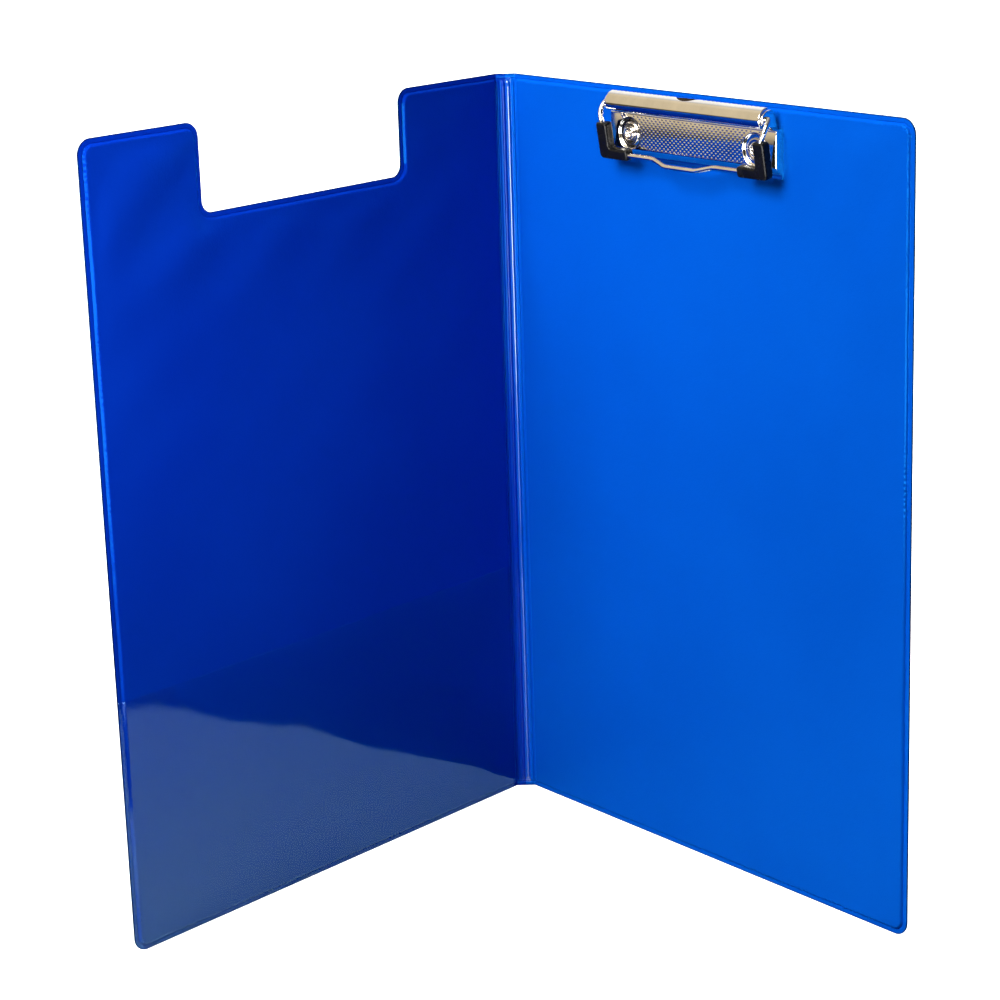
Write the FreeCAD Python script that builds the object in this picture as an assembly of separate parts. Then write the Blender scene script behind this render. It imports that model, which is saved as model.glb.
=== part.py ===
import FreeCAD, Part
import math
import os

os.makedirs("parts", exist_ok=True)

V = FreeCAD.Vector

# ---------------------------------------------------------------------------
# Fold-over clipboard: two stiffened plastic-covered panels joined by a ridged
# spine strip, a wire clip on the rear panel, a clear pocket in the cover.
#
# Everything is first modelled lying flat and open, inner faces up:
#   flat X = across (spine in the middle, rear panel to +X, cover to -X)
#   flat Y = height of the folder, from its foot to its head
#   flat Z = out of the inner faces; Z = 0 is the weld plane of the two films
# It is then folded about its two creases and stood upright:
#   row +Z = height, row X = across the open mouth, the spine at the far +Y side.
# Millimetres throughout.
# ---------------------------------------------------------------------------

# overall
HEIGHT = 340.0            # foot to head of both panels
PANEL_W = 238.0           # crease to free edge
SPINE_W = 9.0             # crease to crease
OPEN_HALF = 41.0          # each panel's angle from the middle plane, as it stands
CREASE_GAP = 0.5          # bare film either side of a crease line

# outline
CORNER_R = 6.6            # free corners of both panels
NOTCH_A = 62.4            # cover notch, near side, from the crease
NOTCH_B = 176.6           # cover notch, far side, from the crease
NOTCH_DEPTH = 37.3
NOTCH_OUT_R = 6.4         # rounded lips of the notch
NOTCH_IN_R = 5.0          # rounded inner corners of the notch

# build-up
FILM = 0.35               # plastic film
BOARD_T = 2.0             # stiffener board
WELD = 3.0                # flat welded margin round each panel
RAMP = 1.2                # width over which the film climbs onto the board
BOARD_INSET = 4.5         # board edge from the panel edge
HB = BOARD_T / 2.0
FACE = HB + FILM          # inner face of a panel above the weld plane

# clear pocket inside the cover
POCKET_H = 111.0
POCKET_T = 0.25
POCKET_GAP = 0.35         # paper space under the pocket film
POCKET_EDGE = 0.4         # its edge stops short of the panel edge

# spine ribs
RIB_PITCH = 2.2
RIB_W = 1.2
RIB_H = 0.55

# clip, in its own frame: x along the clip from its middle,
# v down from the head of the panel, n out of the panel's inner face
CLIP_C = PANEL_W / 2.0
SHEET = 0.9               # pressed steel thickness of the base plate
PLATE_HALF = 49.6         # half length of the base plate
PLATE_TOP_V = 9.6
PLATE_FACE_N = 4.3        # raised face of the base plate
PLATE_FACE_V0 = 10.5      # raised face, upper edge
PLATE_FACE_V1 = 25.2      # raised face, lower edge
PLATE_LIP_V0 = 28.5       # start of the flat lower lip
PLATE_LIP_V1 = 30.4       # lower edge of the lip
PIVOT_V = 5.4
PIVOT_N = 7.2
WIRE_R = 1.05
PIN_CLEAR = 0.06          # running clearance of a pin in its ear
EAR_X0 = 46.2
EAR_T = 0.9
JAW_HALF = 46.0
JAW_T = 0.8
TOOTH_PITCH = 2.5
TOOTH_DEPTH = 0.75
RIVET_X = 37.5
RIVET_V = 18.9
RIVET_R = 1.9             # outside of the tubular rivet
RIVET_BORE = 1.35
SEAT_N = 3.4              # floor of the dished rivet seat
DISH_R0 = 7.2
DISH_R1 = 6.2
WASHER_R = 5.0
WASHER_T = 0.6


# --------------------------------------------------------------- helpers ----
def fillet_wire(verts, z):
    """Closed wire in a plane of constant Z from (x, y, radius) corners."""
    n = len(verts)
    start, end, mids = [], [], []
    for i in range(n):
        x, y, r = verts[i]
        px, py, _ = verts[i - 1]
        qx, qy, _ = verts[(i + 1) % n]
        p = V(x, y, z)
        if r <= 1e-9:
            start.append(p)
            end.append(p)
            mids.append(None)
            continue
        a = V(px - x, py - y, 0).normalize()
        b = V(qx - x, qy - y, 0).normalize()
        ang = a.getAngle(b)
        t = r / math.tan(ang / 2.0)
        c = (a + b).normalize() * (r / math.sin(ang / 2.0))
        s = p + a * t
        e = p + b * t
        centre = p + c
        start.append(s)
        end.append(e)
        mids.append(centre + (p - centre).normalize() * r)
    edges = []
    for i in range(n):
        if mids[i] is not None:
            edges.append(Part.Arc(start[i], mids[i], end[i]).toShape())
        j = (i + 1) % n
        if (start[j] - end[i]).Length > 1e-7:
            edges.append(Part.LineSegment(end[i], start[j]).toShape())
    return Part.Wire(edges)


def panel_wire(d, z, notched):
    """Panel outline inset by d; the panel runs from the crease to +X."""
    x0, w, h = CREASE_GAP, PANEL_W, HEIGHT
    v = [(x0 + d, d, 0.0), (w - d, d, CORNER_R - d), (w - d, h - d, CORNER_R - d)]
    if notched:
        v += [(NOTCH_B + d, h - d, NOTCH_OUT_R - d),
              (NOTCH_B + d, h - NOTCH_DEPTH - d, NOTCH_IN_R + d),
              (NOTCH_A - d, h - NOTCH_DEPTH - d, NOTCH_IN_R + d),
              (NOTCH_A - d, h - d, NOTCH_OUT_R - d)]
    v += [(x0 + d, h - d, 0.0)]
    return fillet_wire(v, z)


def slab(d, z0, z1, notched):
    """Straight-sided slab of the panel outline inset by d."""
    f = Part.Face(panel_wire(d, z0, notched))
    return f.extrude(V(0, 0, z1 - z0))


def ramped(d0, z0, d1, z1, notched):
    """Slab whose sides slope from inset d0 at z0 to inset d1 at z1."""
    return Part.makeLoft([panel_wire(d0, z0, notched), panel_wire(d1, z1, notched)],
                         True, True)


def film_half(notched):
    """One film of a panel, upper side: flat weld margin, ramp, face."""
    body = slab(0.0, 0.0, FILM, notched).fuse(
        ramped(WELD, FILM, WELD + RAMP, FACE, notched))
    hollow = ramped(WELD + 0.5, 0.0, WELD + RAMP + 0.15, HB, notched)
    return body.cut(hollow).removeSplitter()


def film_filled(notched):
    return slab(0.0, -0.5, FILM, notched).fuse(
        ramped(WELD, FILM, WELD + RAMP, FACE, notched))


def flip_z(s):
    return s.mirror(V(0, 0, 0), V(0, 0, 1))


def mirror_x(s):
    return s.mirror(V(0, 0, 0), V(1, 0, 0))


def one(s, name):
    """A node holds exactly one clean solid."""
    sols = s.Solids
    if len(sols) != 1:
        print("NOTE", name, "has", len(sols), "solids")
    r = sols[0] if len(sols) == 1 else s
    if not r.isValid():
        print("NOTE", name, "is not valid")
    return r


def clip_pt(x, v, n):
    """Clip coordinates to the flat rear panel (crease at X = 0)."""
    return V(CLIP_C + x, HEIGHT - v, FACE + n)


def clip_prism(section, x0, x1):
    """Closed (v, n) polygon or list of edges, extruded along the clip."""
    pts = [clip_pt(x0, v, n) for v, n in section]
    w = Part.makePolygon(pts + [pts[0]])
    return Part.Face(w).extrude(V(x1 - x0, 0, 0))


def tube_path(pts, radii, r):
    """Round bar along straight runs joined by tangent arcs, as one solid."""
    segs = []
    cur = pts[0]
    for i in range(1, len(pts) - 1):
        p = pts[i]
        a = (pts[i - 1] - p).normalize()
        b = (pts[i + 1] - p).normalize()
        ang = a.getAngle(b)
        R = radii[i]
        t = R / math.tan(ang / 2.0)
        s, e = p + a * t, p + b * t
        centre = p + (a + b).normalize() * (R / math.sin(ang / 2.0))
        segs.append(("l", cur, s))
        segs.append(("a", s, e, centre, a, b, math.pi - ang))
        cur = e
    segs.append(("l", cur, pts[-1]))
    solids = []
    length = 0.0
    for sg in segs:
        if sg[0] == "l":
            d = sg[2] - sg[1]
            if d.Length < 1e-6:
                continue
            solids.append(Part.makeCylinder(r, d.Length, sg[1], d))
            length += d.Length
        else:
            _, s, e, c, a, b, turn = sg
            t = -a
            disc = Part.Face(Part.Wire(Part.makeCircle(r, s, t)))
            axis = (s - c).cross(t)
            solids.append(disc.revolve(c, axis, math.degrees(turn)))
            length += (s - c).Length * turn
    out = solids[0].multiFuse(solids[1:]).removeSplitter()
    return out, length


# ------------------------------------------------------------- the panels ----
# stiffener boards, sealed between the films
def board(notched):
    return slab(BOARD_INSET, -HB, HB, notched)


rear_inner = film_half(False)
rear_outer = flip_z(film_half(False))
rear_board = board(False)

front_inner = film_half(True)
front_outer = flip_z(film_half(True))
front_board = board(True)

# rivet holes through the rear panel
for sx in (-1, 1):
    p = clip_pt(sx * RIVET_X, RIVET_V, 0)
    drill = Part.makeCylinder(RIVET_R + 0.05, 20, V(p.x, p.y, -10), V(0, 0, 1))
    rear_inner = rear_inner.cut(drill)
    rear_outer = rear_outer.cut(drill)
    rear_board = rear_board.cut(drill)

# clear pocket: welded into the margin on three sides, open along its top edge
pk = slab(POCKET_EDGE, FILM, FILM + POCKET_T, True).fuse(
    ramped(WELD - 0.3, FILM + POCKET_T, WELD + RAMP - 0.3,
           FACE + POCKET_GAP + POCKET_T, True))
pk = pk.cut(ramped(WELD + 0.25, FILM, WELD + RAMP + 0.05, FACE + POCKET_GAP, True))
pk = pk.cut(film_filled(True))
pk = pk.common(Part.makeBox(400, POCKET_H, 20, V(-20, 0, -5)))
clear_pocket = pk.removeSplitter()

# ------------------------------------------------------------- the spine ----
half = SPINE_W / 2.0 - CREASE_GAP
spine_outer = Part.makeBox(2 * half, HEIGHT, FILM, V(-half, 0, -FILM))
spine_inner = Part.makeBox(2 * half, HEIGHT, FILM, V(-half, 0, 0))
ribs = []
for k in range(4):
    xc = (k - 1.5) * RIB_PITCH
    w = RIB_W / 2.0
    prof = Part.makePolygon([V(xc - w, 1.5, FILM * 0.5), V(xc + w, 1.5, FILM * 0.5),
                             V(xc + w, 1.5, FILM), V(xc + w * 0.45, 1.5, FILM + RIB_H),
                             V(xc - w * 0.45, 1.5, FILM + RIB_H), V(xc - w, 1.5, FILM),
                             V(xc - w, 1.5, FILM * 0.5)])
    ribs.append(Part.Face(prof).extrude(V(0, HEIGHT - 3.0, 0)))
spine_inner = spine_inner.multiFuse(ribs).removeSplitter()

# --------------------------------------------------------------- the clip ----
# base plate: a shallow pressed pan, its rim on the board, its face raised,
# with a sloping lower flange, a flat lip, and an upright ear at each end
S = SHEET
outer_sec = [(PLATE_TOP_V, 0.0), (PLATE_TOP_V, 1.6), (PLATE_FACE_V0, PLATE_FACE_N),
             (PLATE_FACE_V1, PLATE_FACE_N), (PLATE_LIP_V0, S), (PLATE_LIP_V1, S),
             (PLATE_LIP_V1, 0.0)]
pan = clip_prism(outer_sec, -PLATE_HALF, PLATE_HALF)
# rounded vertical edges of the pan at its two ends
inner_sec = [(PLATE_TOP_V + S, -1.0), (PLATE_TOP_V + S, 1.3),
             (PLATE_FACE_V0 + 0.5, PLATE_FACE_N - S), (PLATE_FACE_V1 - 0.35, PLATE_FACE_N - S),
             (PLATE_LIP_V0 - 0.35, 0.0), (PLATE_LIP_V0 - 0.35, -1.0)]
pan_in = clip_prism(inner_sec, -PLATE_HALF + S, PLATE_HALF - S)
# soften the long bends and the end bends of the outer skin
soft = []
for e in pan.Edges:
    c = e.CenterOfMass
    v, n = HEIGHT - c.y, c.z - FACE
    if abs(e.BoundBox.XLength) > 50:
        if n > PLATE_FACE_N - 0.1:
            soft.append(e)
    elif abs(n - PLATE_FACE_N) < 0.01:
        soft.append(e)
pan = pan.makeFillet(0.75, soft)
plate = pan.cut(pan_in)

for sx in (-1, 1):
    # dished seat for the rivet
    p = clip_pt(sx * RIVET_X, RIVET_V, 0)
    drop = PLATE_FACE_N - SEAT_N
    cone_out = Part.makeCone(DISH_R1 + 0.55, DISH_R0 + 0.55, drop, V(p.x, p.y, FACE + SEAT_N - S), V(0, 0, 1))
    cone_in = Part.makeCone(DISH_R1, DISH_R0, drop + 0.001, V(p.x, p.y, FACE + SEAT_N), V(0, 0, 1))
    plate = plate.fuse(cone_out).cut(cone_in)
    plate = plate.cut(Part.makeCylinder(RIVET_R + 0.05, 12, V(p.x, p.y, FACE - 1), V(0, 0, 1)))

    # ear: stands up beyond the plate's top edge and carries the pivot pin
    ear_pts = [(12.5, 0.6), (12.5, 3.2), (9.9, 4.1), (8.3, 7.4), (7.7, 9.1), (6.1, 10.0),
               (4.2, 9.5), (2.6, 8.0), (1.9, 6.2), (1.9, 4.2), (3.0, 3.0), (9.6, 0.6)]
    x0 = EAR_X0 if sx > 0 else -EAR_X0 - EAR_T
    pts = [clip_pt(x0, v, n) for v, n in ear_pts]
    ear_w = Part.makePolygon(pts + [pts[0]])
    ear = Part.Face(ear_w).extrude(V(EAR_T, 0, 0))
    try:
        long_e = [e for e in ear.Edges if e.BoundBox.XLength > EAR_T * 0.9
                  and (HEIGHT - e.CenterOfMass.y) < 9.0]
        ear = ear.makeFillet(0.55, long_e)
    except Exception:
        print("NOTE ear corners left sharp")
    plate = plate.fuse(ear)
    q = clip_pt(x0 - 1, PIVOT_V, PIVOT_N)
    plate = plate.cut(Part.makeCylinder(WIRE_R + PIN_CLEAR, EAR_T + 2, q, V(1, 0, 0)))
clip_base_plate = plate.removeSplitter()

# jaw: a rolled steel bar with a toothed back edge and a hanging notch
jaw_mid = [(5.50, 1.35), (6.60, 1.40), (7.75, 1.85), (8.80, 2.75), (9.65, 4.00),
           (10.10, 5.40), (10.05, 6.80), (9.55, 8.00), (8.75, 8.75), (7.95, 9.00)]
curve = Part.BSplineCurve()
curve.interpolate([V(0, v, n) for n, v in jaw_mid])
N = 36
outer, inner, mid = [], [], []
for i in range(N + 1):
    t = curve.FirstParameter + (curve.LastParameter - curve.FirstParameter) * i / N
    p = curve.value(t)
    tg = curve.tangent(t)[0]
    nv = V(0, tg.z, -tg.y).normalize()
    a = p + nv * (JAW_T / 2)
    b = p - nv * (JAW_T / 2)
    outer.append(a)
    inner.append(b)
    mid.append(p)


def jaw_face(x):
    A = [clip_pt(x, q.y, q.z) for q in outer]
    B = [clip_pt(x, q.y, q.z) for q in inner]
    ca = Part.BSplineCurve()
    ca.interpolate(A)
    cb = Part.BSplineCurve()
    cb.interpolate(B)
    w = Part.Wire([ca.toShape(), Part.LineSegment(A[-1], B[-1]).toShape(),
                   cb.toShape(), Part.LineSegment(B[0], A[0]).toShape()])
    return Part.Face(w)


jaw = jaw_face(-JAW_HALF).extrude(V(2 * JAW_HALF, 0, 0))
# teeth along the back edge
teeth = []
count = int(2 * (JAW_HALF - 1.0) / TOOTH_PITCH)
for k in range(-(count // 2), count // 2 + 1):
    xc = k * TOOTH_PITCH
    if abs(xc) < 7.6:
        continue
    tri = Part.makePolygon([clip_pt(xc - 0.85, -1.0, 5.2), clip_pt(xc, -1.0, 5.5 + TOOTH_DEPTH),
                            clip_pt(xc + 0.85, -1.0, 5.2), clip_pt(xc - 0.85, -1.0, 5.2)])
    teeth.append(Part.Face(tri).extrude(V(0, -4.0, 0)))
jaw = jaw.cut(Part.makeCompound(teeth))
# hanging notch in the middle of the back edge
hang = Part.makeCylinder(9.6, 5.0, clip_pt(0, -1.0, 5.5 + 2.9 - 9.6), V(0, -1, 0))
jaw = jaw.cut(hang)
# two lugs inside the roll hold the bar on the wire's pins
for sx in (-1, 1):
    x0 = 43.2 if sx > 0 else -44.8
    lug_pts = [(p.y, p.z) for p in mid[6:33:2]]
    # close the lug across the open side of the roll, round the pin
    lug_pts += [(8.0, 7.0), (6.6, 5.5), (4.6, 5.1), (2.8, 5.9)]
    lug = clip_prism(lug_pts, x0, x0 + 1.6)
    jaw = jaw.fuse(lug)
    q = clip_pt(x0 - 1, PIVOT_V, PIVOT_N)
    jaw = jaw.cut(Part.makeCylinder(WIRE_R + 0.02, 3.6, q, V(1, 0, 0)))
clip_jaw = jaw.removeSplitter()

# wire bail: pins turned in through the ears, bowed arms, straight bottom run
# with a finger bump in its middle
wire_half = [(42.0, PIVOT_V, PIVOT_N, 0), (48.5, PIVOT_V, PIVOT_N, 1.3),
             (48.6, 9.2, 10.3, 8.0), (47.1, 14.6, 11.2, 9.0), (46.9, 27.5, 8.9, 3.2),
             (17.5, 27.5, 8.9, 5.0), (11.5, 29.6, 9.9, 5.0)]
pts, rad = [], []
for x, v, n, r in wire_half:
    pts.append(clip_pt(x, v, n))
    rad.append(r)
for x, v, n, r in reversed(wire_half):
    pts.append(clip_pt(-x, v, n))
    rad.append(r)
clip_wire_bail, wire_len = tube_path(pts, rad, WIRE_R)
print("wire length %.1f volume ratio %.4f" % (
    wire_len, clip_wire_bail.Volume / (math.pi * WIRE_R ** 2 * wire_len)))


# corner grips: moulded L-shaped sleeves over the wire's two lower corners
def grip(sx):
    # section planes follow the wire: the upright leg leans with the arm
    def box_leg(p0, p1, wx, t_back, t_front):
        """Leg along p0->p1 in (v, n), constant width in x."""
        (x0, v0, n0), (x1, v1, n1) = p0, p1
        d = V(0, v1 - v0, n1 - n0).normalize()
        nrm = V(0, -d.z, d.y)
        if nrm.z < 0:
            nrm = nrm * -1
        a = [(v0 - nrm.y * t_back, n0 - nrm.z * t_back), (v1 - nrm.y * t_back, n1 - nrm.z * t_back),
             (v1 + nrm.y * t_front, n1 + nrm.z * t_front), (v0 + nrm.y * t_front, n0 + nrm.z * t_front)]
        return clip_prism(a, min(x0, x1) - wx / 2, max(x0, x1) + wx / 2)

    xc = sx * 46.95
    leg = box_leg((xc, 14.2, 11.1), (xc, 29.7, 8.55), 5.4, 2.6, 1.45)
    # horizontal leg, from the corner inward
    xi = sx * 33.0
    xo = sx * (46.95 + 2.7)
    d = V(0, 29.7 - 14.2, 8.55 - 11.1).normalize()
    nrm = V(0, -d.z, d.y)
    if nrm.z < 0:
        nrm = nrm * -1

    def at(s, k):
        v = 14.2 + d.y * s + nrm.y * k
        n = 11.1 + d.z * s + nrm.z * k
        return (v, n)
    s1 = math.hypot(29.7 - 14.2, 8.55 - 11.1)
    s0 = s1 - 4.2
    foot = clip_prism([at(s0, -2.6), at(s1, -2.6), at(s1, 1.45), at(s0, 1.45)], min(xi, xo), max(xi, xo))
    g = leg.fuse(foot).removeSplitter()
    # keep the back of the grip off the base plate, lying flat on its face
    flat_cut = clip_prism([(10.0, -2.0), (33.0, -2.0), (33.0, PLATE_FACE_N + 0.15),
                           (10.0, PLATE_FACE_N + 0.15)], min(xi, xo) - 5, max(xi, xo) + 5)
    g = g.cut(flat_cut)
    # round the edges that run along both legs
    try:
        es = []
        for e in g.Edges:
            bb = e.BoundBox
            if max(bb.XLength, bb.YLength, bb.ZLength) < 2.5:
                continue
            es.append(e)
        g2 = g.makeFillet(0.8, es)
        if g2.isValid() and len(g2.Solids) == 1:
            g = g2
    except Exception:
        print("NOTE grip edges left sharp")
    return g


def bail_clearance(r):
    t, _ = tube_path(pts, rad, r)
    return t


wire_core = bail_clearance(WIRE_R)
corner_grip_right = one(grip(1).cut(wire_core), "corner_grip_right")
corner_grip_left = one(grip(-1).cut(wire_core), "corner_grip_left")


# rivets: tubular, with a flanged head in the dished seat and a clinched tail
def rivet(sx):
    p = clip_pt(sx * RIVET_X, RIVET_V, 0)
    back = -FACE - WASHER_T
    r0 = RIVET_R
    prof = [(RIVET_BORE, back - 0.55), (RIVET_BORE, FACE + SEAT_N + 1.35),
            (RIVET_BORE + 0.35, FACE + SEAT_N + 1.6), (2.65, FACE + SEAT_N + 1.45),
            (2.85, FACE + SEAT_N + 1.1), (3.05, FACE + SEAT_N + 0.75),
            (4.3, FACE + SEAT_N + 0.6), (4.65, FACE + SEAT_N + 0.25), (4.65, FACE + SEAT_N),
            (r0, FACE + SEAT_N), (r0, back), (3.3, back), (3.45, back - 0.3),
            (3.1, back - 0.6), (2.2, back - 0.75)]
    pl = [V(p.x + r, p.y, z) for r, z in prof]
    f = Part.Face(Part.makePolygon(pl + [pl[0]]))
    return f.revolve(V(p.x, p.y, 0), V(0, 0, 1), 360)


def washer(sx):
    p = clip_pt(sx * RIVET_X, RIVET_V, 0)
    back = -FACE - WASHER_T
    prof = [(RIVET_R + 0.03, back), (WASHER_R - 0.5, back), (WASHER_R, back + 0.35),
            (WASHER_R, -FACE), (RIVET_R + 0.03, -FACE)]
    pl = [V(p.x + r, p.y, z) for r, z in prof]
    f = Part.Face(Part.makePolygon(pl + [pl[0]]))
    return f.revolve(V(p.x, p.y, 0), V(0, 0, 1), 360)


# ------------------------------------------------------- fold and stand up ----
a = math.radians(OPEN_HALF)
fold = 90.0 - OPEN_HALF


def stand(s):
    """Flat layout to upright: flat X -> X, flat Y -> Z, flat Z -> -Y."""
    m = FreeCAD.Matrix(1, 0, 0, 0,
                       0, 0, -1, 0,
                       0, 1, 0, 0,
                       0, 0, 0, 1)
    return s.transformed(m)


def place_rear(s):
    s = stand(s)
    s.rotate(V(0, 0, 0), V(0, 0, 1), -fold)
    s.translate(V(SPINE_W / 2.0, 0, 0))
    return s


def place_front(s):
    s = stand(s)
    s.rotate(V(0, 0, 0), V(0, 0, 1), fold)
    s.translate(V(-SPINE_W / 2.0, 0, 0))
    return s


nodes = {
    "rear_board": place_rear(rear_board),
    "rear_outer_skin": place_rear(rear_outer),
    "rear_inner_skin": place_rear(rear_inner),
    "front_board": place_front(mirror_x(front_board)),
    "front_outer_skin": place_front(mirror_x(front_outer)),
    "front_inner_skin": place_front(mirror_x(front_inner)),
    "clear_pocket": place_front(mirror_x(clear_pocket)),
    "spine_outer_skin": stand(spine_outer),
    "spine_inner_skin": stand(spine_inner),
    "clip_base_plate": place_rear(clip_base_plate),
    "clip_jaw": place_rear(clip_jaw),
    "clip_wire_bail": place_rear(clip_wire_bail),
    "corner_grip_left": place_rear(corner_grip_left),
    "corner_grip_right": place_rear(corner_grip_right),
    "rivet_left": place_rear(rivet(-1)),
    "rivet_right": place_rear(rivet(1)),
    "rivet_washer_left": place_rear(washer(-1)),
    "rivet_washer_right": place_rear(washer(1)),
}

# origin: middle of the footprint, at the foot
bb = FreeCAD.BoundBox()
for s in nodes.values():
    bb.add(s.BoundBox)
# analytic fore-aft extent: outer film of the spine, outer corner of the free edges
y_max = FILM
y_min = -(PANEL_W * math.cos(a)) - 0.0
for name, s in nodes.items():
    ob = s.optimalBoundingBox(False, False) if hasattr(s, "optimalBoundingBox") else s.BoundBox
    y_max = max(y_max, ob.YMax)
    y_min = min(y_min, ob.YMin)
SHIFT_Y = -(y_max + y_min) / 2.0
print("shift y %.4f  y range %.3f %.3f" % (SHIFT_Y, y_min, y_max))

for name, s in nodes.items():
    s = one(s, name)
    s.translate(V(0, SHIFT_Y, 0))
    s.exportStep("parts/%s.step" % name)
    ob = s.optimalBoundingBox(False, False) if hasattr(s, "optimalBoundingBox") else s.BoundBox
    print("%-20s vol %9.1f  x %.2f..%.2f  y %.2f..%.2f  z %.2f..%.2f  faces %d" % (
        name, s.Volume, ob.XMin, ob.XMax, ob.YMin, ob.YMax, ob.ZMin, ob.ZMax, len(s.Faces)))


def place_pt(p):
    """A point of the flat rear panel, in the finished part."""
    w = V(p.x, -p.z, p.y)
    c, sn = math.cos(math.radians(-fold)), math.sin(math.radians(-fold))
    return V(c * w.x - sn * w.y + SPINE_W / 2.0, sn * w.x + c * w.y + SHIFT_Y, w.z)


print("spine crease", SPINE_W / 2.0, SHIFT_Y)
print("clip pivot", place_pt(clip_pt(0, PIVOT_V, PIVOT_N)))
print("rear outer face centre", place_pt(V(CLIP_C, HEIGHT / 2.0, -FACE)))
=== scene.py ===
import bpy
import bmesh
import math
import numpy as np
from mathutils import Vector, Matrix
from mathutils.geometry import delaunay_2d_cdt


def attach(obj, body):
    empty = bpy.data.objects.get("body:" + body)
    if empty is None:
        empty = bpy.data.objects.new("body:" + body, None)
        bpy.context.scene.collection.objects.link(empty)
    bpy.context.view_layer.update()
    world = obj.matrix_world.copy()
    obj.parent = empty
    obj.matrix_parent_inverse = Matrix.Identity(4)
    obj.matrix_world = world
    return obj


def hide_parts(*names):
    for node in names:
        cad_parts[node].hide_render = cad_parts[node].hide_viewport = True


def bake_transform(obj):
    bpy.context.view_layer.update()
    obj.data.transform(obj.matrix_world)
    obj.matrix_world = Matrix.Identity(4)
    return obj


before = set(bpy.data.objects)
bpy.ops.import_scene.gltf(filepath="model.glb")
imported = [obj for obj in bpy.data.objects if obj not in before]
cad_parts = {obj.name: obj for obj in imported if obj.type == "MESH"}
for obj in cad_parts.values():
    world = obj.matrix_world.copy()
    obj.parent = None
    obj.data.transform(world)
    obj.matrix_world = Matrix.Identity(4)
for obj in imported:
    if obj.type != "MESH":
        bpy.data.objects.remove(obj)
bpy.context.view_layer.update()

# ---------------------------------------------------------------------------
# Fold-over clipboard. All sizes here are millimetres, turned into metres by
# place(). Flat coordinates of a panel: X = distance from the spine's middle
# line, Z = height, M = height above the weld plane, positive on the inner side.
# ---------------------------------------------------------------------------
HEIGHT = 340.0
CREASE = 4.5               # spine's middle line to a crease
EDGE = 242.5               # spine's middle line to a free edge
Y0 = 89.75025              # the spine's weld plane
OPEN = math.radians(41.0)
SN, CS = math.sin(OPEN), math.cos(OPEN)
FOLD = math.radians(49.0)
BEND_R = 0.5 / math.tan(FOLD / 2)
FACE = 1.35
CORNER_R, NOTCH_R = 6.6, 6.4   # free corners of the panels, outer corners of the notch
REAR, COVER = 1, -1


def place(side, X, Z, M):
    """Flat coordinates to the row frame, in metres."""
    X, Z, M = np.broadcast_arrays(*(np.asarray(a, float) for a in (X, Z, M)))
    phi = FOLD * np.clip(X - 4.0, 0, 1)
    ax = 4.0 + (BEND_R - M) * np.sin(phi)
    ay = Y0 - BEND_R + (BEND_R - M) * np.cos(phi)
    u = X - CREASE
    px, py = CREASE + SN * u - CS * M, Y0 - CS * u - SN * M
    x = np.where(X >= 5.0, px, np.where(X <= 4.0, X, ax))
    y = np.where(X >= 5.0, py, np.where(X <= 4.0, Y0 - M, ay))
    return np.stack([side * x, y, Z], -1) * 0.001


def clip_place(x, v, n):
    """Clip coordinates: x along the clip, v down from the head, n out of the inner face."""
    return place(REAR, CREASE + 119.0 + np.asarray(x, float), HEIGHT - np.asarray(v, float), FACE + np.asarray(n, float))


def smooth(a, b, x):
    t = np.clip((np.asarray(x, float) - a) / (b - a), 0, 1)
    return t * t * (3 - 2 * t)


def hash_noise(x, seed):
    """Smooth one-dimensional noise, -1 to 1, the same on every run."""
    x = np.asarray(x, float)
    i = np.floor(x)
    f = x - i
    f = f * f * (3 - 2 * f)

    def h(k):
        v = np.sin(k * 127.1 + seed * 311.7) * 43758.5453
        return (v - np.floor(v)) * 2 - 1
    return h(i) * (1 - f) + h(i + 1) * f


def waves(X, Z, seed, count, short, long, lean=None):
    """Sum of plane waves with wavelengths between short and long (mm), about -1 to 1."""
    rng = np.random.default_rng(seed)
    out = np.zeros(np.broadcast(X, Z).shape)
    for _ in range(count):
        lam = short * (long / short) ** rng.random()
        th = rng.random() * math.pi if lean is None else lean + rng.normal() * 0.35
        ph = rng.random() * 6.283
        out = out + np.sin(6.28318 / lam * (X * math.cos(th) + Z * math.sin(th)) + ph)
    return out / math.sqrt(count) * 0.8


# ------------------------------------------------------------ mesh helpers ----
def make_object(name, verts, faces, sharp=None, flat=False):
    me = bpy.data.meshes.new(name)
    me.from_pydata([tuple(v) for v in np.asarray(verts, float)], [], [tuple(int(i) for i in f) for f in faces])
    me.validate()
    me.update()
    if not flat:
        me.polygons.foreach_set("use_smooth", np.ones(len(me.polygons), bool))
    ob = bpy.data.objects.new(name, me)
    bpy.context.scene.collection.objects.link(ob)
    if sharp is not None:
        mark_sharp(ob, sharp)
    return ob


def mark_sharp(ob, degrees):
    """Edges whose faces meet at more than this angle shade as corners."""
    bm = bmesh.new()
    bm.from_mesh(ob.data)
    lim = math.radians(degrees)
    for e in bm.edges:
        if len(e.link_faces) == 2 and e.calc_face_angle(0.0) > lim:
            e.smooth = False
    bm.to_mesh(ob.data)
    bm.free()


def tidy(ob, dist=1e-7):
    bm = bmesh.new()
    bm.from_mesh(ob.data)
    bmesh.ops.remove_doubles(bm, verts=bm.verts, dist=dist)
    bmesh.ops.dissolve_degenerate(bm, dist=dist, edges=bm.edges)
    bmesh.ops.recalc_face_normals(bm, faces=bm.faces)
    for f in bm.faces:
        f.smooth = True
    bm.to_mesh(ob.data)
    bm.free()
    return ob


def in_polygon(p, poly):
    x, y = p[:, 0], p[:, 1]
    inside = np.zeros(len(p), bool)
    x0, y0 = poly[:, 0], poly[:, 1]
    x1, y1 = np.roll(x0, -1), np.roll(y0, -1)
    for a, b, c, d in zip(x0, y0, x1, y1):
        if b == d:
            continue
        hit = ((b > y) != (d > y)) & (x < (c - a) * (y - b) / (d - b) + a)
        inside ^= hit
    return inside


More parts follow.
